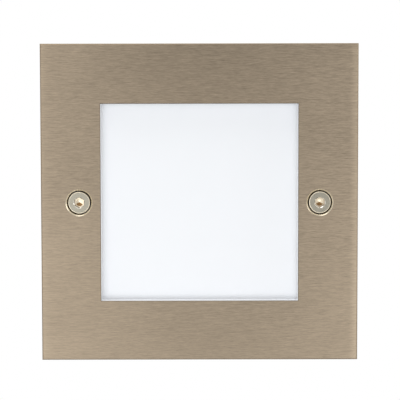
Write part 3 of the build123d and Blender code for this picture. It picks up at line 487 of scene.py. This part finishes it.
def makeFinish(name, s, centre=(0, 0, 0)):
    # a material from one row of finishes, with its pattern centred on a place on the piece
    material = bpy.data.materials.new(name)
    material.use_nodes = True
    tree = material.node_tree
    shader = tree.nodes["Principled BSDF"].inputs
    coords = newNode(tree, "ShaderNodeTexCoord")
    mapping = newNode(tree, "ShaderNodeMapping")
    mapping.inputs["Location"].default_value = [-value for value in centre]
    pattern = newNode(tree, "ShaderNodeGroup", node_tree=groups[s["pattern"]])
    bump = newNode(tree, "ShaderNodeBump")
    bump.inputs["Strength"].default_value = 1.0
    bump.inputs["Distance"].default_value = s["relief"] * mm
    pattern.inputs["Colour"].default_value = s["colour"]
    for label, value in s["values"].items():
        pattern.inputs[label].default_value = value
    for label, value in s.get("shader", {}).items():
        shader[label].default_value = value
    link(tree, coords.outputs["Object"], mapping.inputs["Vector"])
    link(tree, mapping.outputs["Vector"], pattern.inputs["Vector"])
    link(tree, pattern.outputs["Colour"], shader["Base Color"])
    link(tree, pattern.outputs["Roughness"], shader["Roughness"])
    link(tree, pattern.outputs["Height"], bump.inputs["Height"])
    link(tree, bump.outputs["Normal"], shader["Normal"])
    return material


materials = {name: makeFinish(name, s) for name, s in finishes.items()}

# turned metal, each finish centred on the axis of its own piece
screwX = (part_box("right_face_screw")[0].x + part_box("right_face_screw")[1].x) / 2
glandLow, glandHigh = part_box("gland_nut")
screwSteel = {"pattern": "turnedGrain", "colour": rgb(140, 136, 124), "relief": 0.003, "shader": bareMetal,
              "values": {"Tone": 0.22, "Roughness": 0.32, "Spread": 0.25, "Rings": 7000.0}}
glandNickel = {"pattern": "turnedGrain", "colour": rgb(206, 201, 188), "relief": 0.004, "shader": bareMetal,
               "values": {"Tone": 0.12, "Roughness": 0.24, "Spread": 0.2, "Rings": 4000.0}}
for name, s, centre in (
    ("leftScrewSteel", screwSteel, (-screwX, 0, 0)),
    ("rightScrewSteel", screwSteel, (screwX, 0, 0)),
    ("glandNickel", glandNickel, (0, 0, (glandLow.z + glandHigh.z) / 2)),
):
    materials[name] = makeFinish(name, s, centre)

# the brushed face gets a painted reflection, a painted sheen lighter towards its two sides and a little to
# the right, and it is lighter beside their edges
sheenAndEdgeSet = {
    "sideLift": 0.2,
    "rightLift": 0.04,
    "leftEdge": 0.08,
    "rightEdge": 0.3,
    "edgeFrom": 47.0 * mm,
    "edgeTo": 49.6 * mm,
    "halfWidth": 50.0 * mm,
}
# the earth wire's yellow bands on green
stripeSet = {"colour": rgb(214, 196, 44), "scale": 150.0, "bandStart": 0.48, "bandEnd": 0.56}


def openColour(material):
    # the node tree, the piece's own coordinates, the colour so far and the socket that takes the new one
    tree = material.node_tree
    socket = tree.nodes["Principled BSDF"].inputs["Base Color"]
    return tree, tree.nodes["Texture Coordinate"].outputs["Object"], socket.links[0].from_socket, socket


def paintSheenAndEdgeBands(material, s):
    tree, coords, colour, socket = openColour(material)
    parts = newNode(tree, "ShaderNodeSeparateXYZ")
    link(tree, coords, parts.inputs[0])
    across = parts.outputs["X"]
    share = mathNode(tree, "DIVIDE", across, s["halfWidth"])
    # painted sheen: lighter towards both sides and a little to the right
    lean = mathNode(tree, "MULTIPLY_ADD", share, s["rightLift"], 1.0)
    lift = mathNode(tree, "MULTIPLY_ADD", mathNode(tree, "MULTIPLY", share, share), s["sideLift"], lean)
    right = ramp(tree, across, s["edgeFrom"], s["edgeTo"], 0.0, s["rightEdge"])
    leftwards = mathNode(tree, "MULTIPLY", across, -1.0)
    left = ramp(tree, leftwards, s["edgeFrom"], s["edgeTo"], 0.0, s["leftEdge"])
    total = mathNode(tree, "ADD", mathNode(tree, "ADD", lift, right), left)
    link(tree, scaled(tree, colour, total), socket)


def stripeWire(material, s):
    tree, coords, colour, socket = openColour(material)
    bands = newNode(tree, "ShaderNodeTexWave", bands_direction="DIAGONAL")
    link(tree, s["scale"], bands.inputs["Scale"])
    link(tree, coords, bands.inputs["Vector"])
    mix = newNode(tree, "ShaderNodeMix", data_type="RGBA")
    first, second = [one for one in mix.inputs if one.type == "RGBA"]
    link(tree, ramp(tree, bands.outputs["Fac"], s["bandStart"], s["bandEnd"]), mix.inputs["Factor"])
    link(tree, colour, first)
    link(tree, s["colour"], second)
    link(tree, [one for one in mix.outputs if one.type == "RGBA"][0], socket)


paintSheenAndEdgeBands(materials["faceplateSteel"], sheenAndEdgeSet)
stripeWire(materials["wireEarth"], stripeSet)
print("materials made,", len(materials))

# a node's finish has the name of its slot, apart from these three
ownFinish = {
    "rear_cover": "coverPaint",
    "left_face_screw": "leftScrewSteel",
    "right_face_screw": "rightScrewSteel",
}


def finishOf(node):
    words = slotOf[node].split("_")
    return ownFinish.get(node) or words[0] + "".join(word.capitalize() for word in words[1:])


for node, piece in nodes.items():
    piece.data.materials.clear()
    piece.data.materials.append(materials[finishOf(node)])

# modelling steps
mergeWithin = 0.002 * mm
sliverAngle = 0.2  # degrees
sharpAngle = 32  # degrees
alongY, againstY = (math.pi / 2, 0, 0), (-math.pi / 2, 0, 0)


def select(*pieces):
    bpy.ops.object.select_all(action="DESELECT")
    for piece in pieces:
        piece.select_set(True)
    bpy.context.view_layer.objects.active = pieces[0]


def pick(piece, kind, test):
    # in edit mode, selects the vertices, edges or faces that pass a test and nothing else
    bpy.ops.mesh.select_mode(type=kind)
    bpy.ops.mesh.select_all(action="DESELECT")
    mesh = bmesh.from_edit_mesh(piece.data)
    for part in {"VERT": mesh.verts, "EDGE": mesh.edges, "FACE": mesh.faces}[kind]:
        part.select_set(test(part))
    bmesh.update_edit_mesh(piece.data)


def newShape(name, operator, **values):
    # one of Blender's own shapes
    bpy.ops.object.select_all(action="DESELECT")
    operator(**values)
    piece = bpy.context.object
    piece.name = name
    return piece


def fixedShape(name, operator, scale=(1, 1, 1), **values):
    # the same, with its scale, place and turn made part of the mesh
    piece = newShape(name, operator, **values)
    piece.scale = scale
    bpy.ops.object.transform_apply(location=True, rotation=True, scale=True)
    return piece


def applyModifier(piece, kind, **values):
    modifier = piece.modifiers.new(kind.lower(), kind)
    for label, value in values.items():
        setattr(modifier, label, value)
    select(piece)
    bpy.ops.object.modifier_apply(modifier=modifier.name)


def cutAway(piece, cutter):
    applyModifier(piece, "BOOLEAN", operation="DIFFERENCE", object=cutter, solver="EXACT")
    bpy.data.objects.remove(cutter)


def joinCopies(piece, places):
    # joins the piece with a copy of it at each place
    copies = []
    for place in places:
        other = piece.copy()
        other.data = piece.data.copy()
        scene.collection.objects.link(other)
        other.location = place
        copies.append(other)
    select(piece, *copies)
    bpy.ops.object.join()


def paintFaces(piece, names, finishAt):
    # gives each face the finish, out of names, that finishAt says for it
    piece.data.materials.clear()
    for name in names:
        piece.data.materials.append(materials[name])
    for face in piece.data.polygons:
        face.material_index = names.index(finishAt(face))


def sharpRuns(mesh, smallest, reach):
    # the sharp edges, by index, without the rims of holes and bosses that are smaller across than smallest
    # and without the edges that stay nearer to the middle than reach
    sharper = math.radians(sharpAngle)
    sharp = {edge.index: edge for edge in mesh.edges if edge.is_manifold and edge.calc_face_angle() > sharper}
    chosen, waiting = set(), set(sharp)
    while waiting:
        run, ends = set(), [waiting.pop()]
        while ends:
            run.add(ends[-1])
            for corner in sharp[ends.pop()].verts:
                for edge in corner.link_edges:
                    if edge.index in waiting:
                        waiting.discard(edge.index)
                        ends.append(edge.index)
        places = [corner.co for index in run for corner in sharp[index].verts]
        spans = [[place[axis] for place in places] for axis in range(3)]
        across = max(max(span) - min(span) for span in spans)
        if across > smallest and max(max(abs(place.x), abs(place.z)) for place in places) > reach:
            chosen |= run
    return chosen


def bevelEdges(piece, width, segments=2, smallest=0.0, reach=0.0):
    # rounds the sharp edges, with the broad faces kept flat beside them
    select(piece)
    bpy.ops.object.shade_smooth_by_angle(angle=math.radians(sharpAngle))
    bpy.ops.object.mode_set(mode="EDIT")
    mesh = bmesh.from_edit_mesh(piece.data)
    mesh.edges.index_update()
    chosen = sharpRuns(mesh, smallest, reach)
    pick(piece, "EDGE", lambda edge: edge.index in chosen)
    bpy.ops.mesh.bevel(offset=width, segments=segments, affect="EDGES", clamp_overlap=False,
                       harden_normals=True, miter_outer="ARC")
    bpy.ops.object.mode_set(mode="OBJECT")


def smoothTo(piece, degrees=sharpAngle):
    select(piece)
    bpy.ops.object.shade_smooth_by_angle(angle=math.radians(degrees))
    applyModifier(piece, "WEIGHTED_NORMAL", mode="FACE_AREA", weight=80, keep_sharp=True)


def copyOf(node, name):
    # a merged copy of a CAD node's mesh, ready to be finished
    piece = bpy.data.objects.new(name, nodes[node].data.copy())
    scene.collection.objects.link(piece)
    select(piece)
    if piece.data.has_custom_normals:
        bpy.ops.mesh.customdata_custom_splitnormals_clear()
    bpy.ops.object.mode_set(mode="EDIT")
    bpy.ops.mesh.select_all(action="SELECT")
    bpy.ops.mesh.remove_doubles(threshold=mergeWithin)
    bpy.ops.mesh.beautify_fill(angle_limit=math.radians(sliverAngle))  # no slivers beside the rounded edges
    bpy.ops.object.mode_set(mode="OBJECT")
    return piece


def standFor(piece, node):
    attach(piece, bodyOf[node])
    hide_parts(node)


# pieces that keep their CAD shape and get the small roundings of the real edges; the rims of holes
# smaller than the given size stay sharp, as drilled, and so do the housing's inner edges within reach
edgeSet = {
    "housing": {"width": 0.18 * mm, "smallest": 12 * mm, "reach": 36 * mm},
    "rear_cover": {"width": 0.15 * mm, "smallest": 20 * mm},
    "recess_box": {"width": 0.15 * mm, "smallest": 25 * mm},
    "conduit_adaptor": {"width": 0.2 * mm},
    "adaptor_locknut": {"width": 0.1 * mm},
    "gland_washer": {"width": 0.1 * mm},
    "face_gasket": {"width": 0.1 * mm},
    "transformer_core": {"width": 0.15 * mm},
    "transformer_bobbin": {"width": 0.2 * mm},
    "rectifier": {"width": 0.2 * mm},
    "control_chip": {"width": 0.12 * mm},
    "lamp_connector": {"width": 0.12 * mm},
    "terminal_block": {"width": 0.15 * mm, "smallest": 4 * mm, "segments": 1},
}
for node, s in edgeSet.items():
    piece = copyOf(node, node + ".finished")
    bevelEdges(piece, **s)
    standFor(piece, node)
print("edges rounded on", len(edgeSet), "pieces")

# slabs with rounded corners along Y and rounded rims: the opal acrylic diffuser, the safety
# capacitor's case and the taped winding
slabSet = {
    "diffuser": {"corner": 1.5 * mm, "cornerSegments": 10, "rim": 0.4 * mm, "rimSegments": 4},
    "safety_capacitor": {"corner": 0.8 * mm, "cornerSegments": 6, "rim": 0.45 * mm, "rimSegments": 4},
    "transformer_winding": {"corner": 2.2 * mm, "cornerSegments": 10, "rim": 0.3 * mm, "rimSegments": 3},
}
slabSharp = 40  # degrees


def runsAlongY(edge, share=0.999):
    step = edge.verts[1].co - edge.verts[0].co
    return abs(step.y) > share * step.length


def liesLevel(edge, within=0.01 * mm):
    return abs(edge.verts[1].co.y - edge.verts[0].co.y) < within


def makeSlab(node, s):
    low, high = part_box(node)
    piece = fixedShape(node + ".finished", bpy.ops.mesh.primitive_cube_add, size=1.0,
                       location=(low + high) / 2, scale=high - low)
    bpy.ops.object.mode_set(mode="EDIT")
    pick(piece, "EDGE", runsAlongY)
    bpy.ops.mesh.bevel(offset=s["corner"], segments=s["cornerSegments"], affect="EDGES")
    pick(piece, "EDGE", liesLevel)
    bpy.ops.mesh.bevel(offset=s["rim"], segments=s["rimSegments"], affect="EDGES")
    bpy.ops.object.mode_set(mode="OBJECT")
    piece.data.materials.append(materials[finishOf(node)])
    smoothTo(piece, slabSharp)
    standFor(piece, node)


for node, s in slabSet.items():
    makeSlab(node, s)
print("slabs shaped,", len(slabSet))

# faceplate: brushed face, darker cut sides, a painted highlight on the countersinks at the screws, a painted
# shade line on the window's rim and a painted reflection of the diffuser on the window's walls
# a lean is the share of a face's direction that is along Y
faceplateSet = {
    "windowReach": 33 * mm,
    "sinkInner": 3.8 * mm,
    "sinkOuter": 4.3 * mm,
    "sinkDepth": 0.5 * mm,
    "sinkLean": 0.97,
    "faceLean": 0.9,
    "wallLean": 0.3,
}


def makeFaceplate(s):
    piece = copyOf("faceplate", "faceplate.finished")
    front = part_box("faceplate")[0].y

    def finishAt(face):
        reach = min(math.hypot(face.center.x - side * screwX, face.center.z) for side in (-1, 1))
        atScrew = s["sinkInner"] < reach < s["sinkOuter"] and face.center.y < front + s["sinkDepth"]
        if atScrew and face.normal.y > -s["sinkLean"]:
            return "machinedEdge"
        if abs(face.normal.y) >= s["faceLean"]:
            return "faceplateSteel"
        if max(abs(face.center.x), abs(face.center.z)) < s["windowReach"]:
            return "windowWall" if abs(face.normal.y) < s["wallLean"] else "windowRim"
        return "cutEdge"

    paintFaces(piece, ("faceplateSteel", "cutEdge", "machinedEdge", "windowWall", "windowRim"), finishAt)
    smoothTo(piece)
    standFor(piece, "faceplate")


makeFaceplate(faceplateSet)
print("faceplate finished")

# face screws, with a real thread
screwSet = {
    "sides": 96,
    "headRadius": 3.5 * mm,
    "headEdge": 0.3 * mm,
    "headSwell": (0.35, 0.4),  # shares of the edge, inwards and down
    "headHeight": 3.98 * mm,  # just clear of the washer
    "seatEdge": 0.1 * mm,
    "coreRadius": 1.62 * mm,
    "crestRadius": 1.98 * mm,
    "tipChamfer": 0.5 * mm,
    "tipTaper": 0.6,
    "neck": 0.5 * mm,
    "runOut": 0.3 * mm,
    "pitch": 0.7 * mm,
    "crestFlat": 0.09 * mm,
    "rootFlat": 0.52 * mm,
    "rootSunk": 0.02 * mm,
    "threadStart": 0.35 * mm,
    "threadSteps": 32,
    "threadMerge": 0.001 * mm,
    "keyFlats": 3.0 * mm,
    "keyDepth": 2.0 * mm,
    "keyChamfer": 0.32 * mm,
    "leadReach": 1.1,  # share of the chamfer
    "drillRadius": 1.25 * mm,
    "drillDepth": 0.3 * mm,
    "drillTip": 0.01 * mm,
    "cutterSides": 48,
    "skin": 0.005 * mm,
    "wallLean": 0.3,
    "floorLean": 0.99,
    # the turns about the screw of the painted shade on the drill point
    "bitReach": (-155, -30),  # degrees
}


def turnOnY(name, centreX, centreZ, rings, sides):
    # a solid turned about Y: a disc at the first ring, then extruded and scaled ring by ring
    radius, depth = rings[0]
    piece = fixedShape(name, bpy.ops.mesh.primitive_circle_add, vertices=sides, radius=radius,
                       fill_type="NGON", location=(centreX, depth, centreZ), rotation=alongY)
    bpy.ops.object.mode_set(mode="EDIT")
    bpy.ops.mesh.select_all(action="SELECT")
    for (radius, depth), (nextRadius, nextDepth) in zip(rings, rings[1:]):
        bpy.ops.mesh.extrude_region_move(TRANSFORM_OT_translate={"value": (0, nextDepth - depth, 0)})
        ratio = nextRadius / radius
        bpy.ops.transform.resize(value=(ratio, 1, ratio), center_override=(centreX, nextDepth, centreZ))
    bpy.ops.mesh.select_all(action="SELECT")
    bpy.ops.mesh.normals_make_consistent(inside=False)
    bpy.ops.object.mode_set(mode="OBJECT")
    return piece


def threadOnY(name, centreX, start, turns, s):
    # a helical ridge: a four-cornered profile beside the axis, screwed round it, with closed ends
    middle = (s["coreRadius"] + s["crestRadius"]) / 2 - s["rootSunk"]
    depth = s["crestRadius"] - s["coreRadius"] + 2 * s["rootSunk"]
    piece = fixedShape(name, bpy.ops.mesh.primitive_plane_add, size=1.0, location=(middle, start, 0),
                       scale=(depth, s["rootFlat"], 1))
    bpy.ops.object.mode_set(mode="EDIT")
    pick(piece, "VERT", lambda corner: corner.co.x > middle)
    bpy.ops.transform.resize(value=(1, s["crestFlat"] / s["rootFlat"], 1), center_override=(middle, start, 0))
    bpy.ops.mesh.select_all(action="SELECT")
    bpy.ops.mesh.delete(type="ONLY_FACE")
    bpy.ops.object.mode_set(mode="OBJECT")
    applyModifier(piece, "SCREW", axis="Y", angle=math.tau, screw_offset=s["pitch"], iterations=turns,
                  steps=s["threadSteps"], render_steps=s["threadSteps"], use_merge_vertices=False)
    select(piece)
    bpy.ops.object.mode_set(mode="EDIT")
    bpy.ops.mesh.select_all(action="SELECT")
    bpy.ops.mesh.remove_doubles(threshold=s["threadMerge"])
    bpy.ops.mesh.select_all(action="DESELECT")
    bpy.ops.mesh.select_non_manifold()
    bpy.ops.mesh.edge_face_add()
    bpy.ops.mesh.select_all(action="SELECT")
    bpy.ops.mesh.normals_make_consistent(inside=False)
    bpy.ops.transform.translate(value=(centreX, 0, 0))
    bpy.ops.object.mode_set(mode="OBJECT")
    return piece


def makeFaceScrew(side, node, finish, s):
    centre = side * screwX
    low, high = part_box(node)
    top, tip = low.y, high.y
    seat = top + s["headHeight"]
    neck = seat + s["neck"]
    head, edge, core = s["headRadius"], s["headEdge"], s["coreRadius"]
    inwards, down = s["headSwell"]
    rings = [
        (head - edge, top), (head - inwards * edge, top + down * edge), (head, top + edge),
        (head, seat - s["seatEdge"]), (head - s["seatEdge"], seat), (s["crestRadius"], seat),
        (s["crestRadius"], neck), (core, neck + s["runOut"]), (core, tip - s["tipChamfer"]),
        (core - s["tipChamfer"] * s["tipTaper"], tip),
    ]
    body = turnOnY(node + ".threaded", centre, 0, rings, s["sides"])
    # the hexagon socket, its drill point and its lead-in
    corner = s["keyFlats"] / math.sqrt(3)
    chamfer = s["keyChamfer"]
    cutAway(body, newShape("key", bpy.ops.mesh.primitive_cylinder_add, vertices=6, radius=corner,
                           depth=2 * s["keyDepth"], location=(centre, top, 0), rotation=alongY))
    middle = top + s["keyDepth"] + s["drillDepth"] / 2
    cutAway(body, newShape("drill", bpy.ops.mesh.primitive_cone_add, vertices=s["cutterSides"],
                           radius1=s["drillRadius"], radius2=s["drillTip"],
                           depth=s["drillDepth"] + 2 * s["drillTip"],
                           location=(centre, middle, 0), rotation=againstY))
    cutAway(body, newShape("lead", bpy.ops.mesh.primitive_cone_add, vertices=s["cutterSides"],
                           radius1=corner + chamfer, radius2=corner - chamfer, depth=2 * chamfer,
                           location=(centre, top, 0), rotation=againstY))
    turns = int((tip - s["tipChamfer"] - neck) / s["pitch"]) - 1
    select(body, threadOnY(node + ".thread", centre, neck + s["threadStart"], turns, s))
    bpy.ops.object.join()

    def finishAt(face):
        reach = math.hypot(face.center.x - centre, face.center.z)
        depth = face.center.y - top
        turn = math.degrees(math.atan2(face.center.z, face.center.x - centre))
        # painted light on the screw: a painted highlight on the head's rim, the lead-in and the socket floor,
        # painted shade on the socket's walls and the lower part of the drill point
        if reach > head - edge and s["skin"] < depth < edge:
            return "machinedEdge"
        if reach > corner + chamfer or depth > 2 * s["keyDepth"] or depth < s["skin"]:
            return finish
        if depth < s["leadReach"] * chamfer:
            return "keyLead"
        # painted shade on the lower part of the drill point
        shadedPoint = face.normal.y > -s["floorLean"] and s["bitReach"][0] < turn < s["bitReach"][1]
        return "keyWall" if abs(face.normal.y) < s["wallLean"] or shadedPoint else "keyFloor"

    paintFaces(body, (finish, "keyLead", "keyWall", "keyFloor", "machinedEdge"), finishAt)
    smoothTo(body)
    standFor(body, node)


makeFaceScrew(-1, "left_face_screw", "leftScrewSteel", screwSet)
makeFaceScrew(1, "right_face_screw", "rightScrewSteel", screwSet)
print("face screws threaded")

# lamp chips: white packages with a sunk yellow window, one modelled and copied
chipSet = {
    "perSide": 4,
    "size": (2.8 * mm, 0.8 * mm, 3.5 * mm),
    "edge": 0.12 * mm,
    "rim": 0.32 * mm,
    "sunk": 0.14 * mm,
    "frontLean": 0.9,
}


def makeLampChips(s):
    low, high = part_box("lamp_chips")
    wide, tall = s["size"][0], s["size"][2]
    middle = Vector((low.x + wide / 2, (low.y + high.y) / 2, low.z + tall / 2))
    chip = fixedShape("lamp_chips.packages", bpy.ops.mesh.primitive_cube_add, size=1.0, location=middle,
                      scale=s["size"])

    def facesFront(face):
        return face.normal.y < -s["frontLean"]

    bpy.ops.object.mode_set(mode="EDIT")
    pick(chip, "FACE", facesFront)
    bpy.ops.mesh.inset(thickness=s["rim"], depth=0)
    bpy.ops.mesh.inset(thickness=s["sunk"] / 2, depth=-s["sunk"])
    pick(chip, "EDGE", runsAlongY)
    bpy.ops.mesh.bevel(offset=s["edge"], segments=1, affect="EDGES")
    bpy.ops.object.mode_set(mode="OBJECT")
    lens = low.y + s["sunk"] / 2
    paintFaces(chip, ("chipFrame", "chipYellow"),
               lambda face: "chipYellow" if facesFront(face) and face.center.y > lens else "chipFrame")
    across = (high.x - low.x - wide) / (s["perSide"] - 1)
    up = (high.z - low.z - tall) / (s["perSide"] - 1)
    places = [(column * across, 0, row * up) for column in range(s["perSide"]) for row in range(s["perSide"])]
    joinCopies(chip, places[1:])
    standFor(chip, "lamp_chips")


makeLampChips(chipSet)
print("lamp chips packaged")

# capacitors: a sleeved can with a crimp near its foot, and a bare scored top
# the rings are shares of the radius, with millimetres up from the foot or down from the top
canSet = {
    "turns": {"input_capacitor": 20, "output_capacitor": 65},  # degrees
    "sides": 48,
    "footRings": ((0.9, 0), (0.99, 0.25), (1, 1.1), (0.93, 1.5), (0.93, 1.8), (1, 2.2)),
    "topRings": ((1, 0.7), (0.96, 0.25), (0.88, 0)),
    "sleeveLip": 0.74,
    "topWithin": 0.99,
    "topSunk": 0.14 * mm,
    "topDepth": 1 * mm,
    "scoreLength": 1.1,
    "scoreWidth": 0.3 * mm,
    "scoreDepth": 0.16 * mm,
    "stripe": 24,  # degrees to each side
    "stripeInner": 0.5,
    "sharpAngle": 50,
}


def makeCapacitor(node, turn, s):
    low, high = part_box(node)
    x, z = (low.x + high.x) / 2, (low.z + high.z) / 2
    radius, top = (high.x - low.x) / 2, high.y
    lip = radius * s["sleeveLip"]
    rings = [(radius * share, low.y + up * mm) for share, up in s["footRings"]]
    rings += [(radius * share, top - down * mm) for share, down in s["topRings"]]
    rings += [(lip, top), (lip, top - s["topSunk"])]
    piece = turnOnY(node + ".can", x, z, rings, s["sides"])
    for angle in (turn, turn + 90):
        cutAway(piece, fixedShape("score", bpy.ops.mesh.primitive_cube_add, size=1.0,
                                  location=(x, top - s["topSunk"], z), rotation=(0, math.radians(angle), 0),
                                  scale=(radius * s["scoreLength"], 2 * s["scoreDepth"], s["scoreWidth"])))

    def finishAt(face):
        reach = math.hypot(face.center.x - x, face.center.z - z)
        facing = math.degrees(math.atan2(face.center.z - z, face.center.x - x))
        if reach < lip * s["topWithin"] and face.center.y > top - s["topDepth"]:
            return "canTop"
        onStripe = abs(facing - 90 + turn) < s["stripe"] and reach > radius * s["stripeInner"]
        return "sleeveStripe" if onStripe else "capacitorSleeve"

    paintFaces(piece, ("capacitorSleeve", "canTop", "sleeveStripe"), finishAt)
    smoothTo(piece, s["sharpAngle"])
    standFor(piece, node)


for node, turn in canSet["turns"].items():
    makeCapacitor(node, turn, canSet)
print("capacitors sleeved")

# choke: a ferrite drum with enamelled wire wound between its flanges
chokeSet = {
    "sides": 48,
    "edge": 0.15 * mm,
    "waist": 0.62,
    "flange": 0.16,
    "wire": 0.22 * mm,
    "wireReach": 0.86,
    "wireSides": 8,
    "sharpAngle": 40,
}


def makeChoke(s):
    low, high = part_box("filter_choke")
    x, z = (low.x + high.x) / 2, (low.z + high.z) / 2
    radius, tall, edge = (high.x - low.x) / 2, high.y - low.y, s["edge"]
    waist, flange = radius * s["waist"], tall * s["flange"]
    rings = [
        (radius - edge, low.y), (radius, low.y + edge), (radius, low.y + flange - edge),
        (radius - edge, low.y + flange), (waist, low.y + flange), (waist, high.y - flange),
        (radius - edge, high.y - flange), (radius, high.y - flange + edge), (radius, high.y - edge),
        (radius - edge, high.y),
    ]
    drum = turnOnY("filter_choke.drum", x, z, rings, s["sides"])
    drum.data.materials.append(materials["ferriteGrey"])
    turns = int((tall - 2 * flange) / (2 * s["wire"]))
    wound = []
    for index in range(turns):
        height = low.y + flange + (index + 0.5) * (tall - 2 * flange) / turns
        turn = fixedShape("turn", bpy.ops.mesh.primitive_torus_add, major_radius=radius * s["wireReach"],
                          minor_radius=s["wire"], major_segments=s["sides"], minor_segments=s["wireSides"],
                          location=(x, height, z), rotation=alongY)
        turn.data.materials.append(materials["enamelCopper"])
        wound.append(turn)
    select(drum, *wound)
    bpy.ops.object.join()
    smoothTo(drum, s["sharpAngle"])
    standFor(drum, "filter_choke")


makeChoke(chokeSet)
print("choke wound")

# threaded inserts: knurled brass, one modelled and copied
insertSet = {
    "sides": 64,
    "edge": 0.2 * mm,
    "knurl": 0.06,
    "knurlDepth": 0.05 * mm,
    "grooves": (1 / 3, 2 / 3),
    "grooveDepth": 0.35 * mm,
    "grooveWidth": 0.9 * mm,
    "bore": 2.0 * mm,
    "boreSides": 40,
    "sharpAngle": 20,
}


def makeInserts(s):
    low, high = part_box("threaded_inserts")
    radius, tall, edge = (high.z - low.z) / 2, high.y - low.y, s["edge"]
    inner = radius - s["grooveDepth"]
    rings = [(radius - edge, low.y), (radius, low.y + edge)]
    for share in s["grooves"]:
        front = low.y + tall * share - s["grooveWidth"] / 2
        back = front + s["grooveWidth"]
        rings += [(radius, front), (inner, front), (inner, back), (radius, back)]
    rings += [(radius, high.y - edge), (radius - edge, high.y)]
    piece = turnOnY("threaded_inserts.knurled", screwX, 0, rings, s["sides"])

    def isKnurled(corner):
        # every second corner of the outer rings
        turn = round(math.atan2(corner.co.z, corner.co.x - screwX) * s["sides"] / math.tau)
        reach = math.hypot(corner.co.x - screwX, corner.co.z)
        return turn % 2 == 0 and reach > radius - s["knurlDepth"]

    select(piece)
    bpy.ops.object.mode_set(mode="EDIT")
    pick(piece, "VERT", isKnurled)
    bpy.ops.transform.resize(value=(1 - s["knurl"], 1, 1 - s["knurl"]), center_override=(screwX, 0, 0))
    bpy.ops.object.mode_set(mode="OBJECT")
    cutAway(piece, newShape("bore", bpy.ops.mesh.primitive_cylinder_add, vertices=s["boreSides"],
                            radius=s["bore"], depth=tall * 2, location=(screwX, (low.y + high.y) / 2, 0),
                            rotation=alongY))
    piece.data.materials.clear()
    piece.data.materials.append(materials["clampBrass"])
    joinCopies(piece, [(-2 * screwX, 0, 0)])
    bpy.ops.object.shade_smooth_by_angle(angle=math.radians(s["sharpAngle"]))
    standFor(piece, "threaded_inserts")


makeInserts(insertSet)
print("inserts knurled")
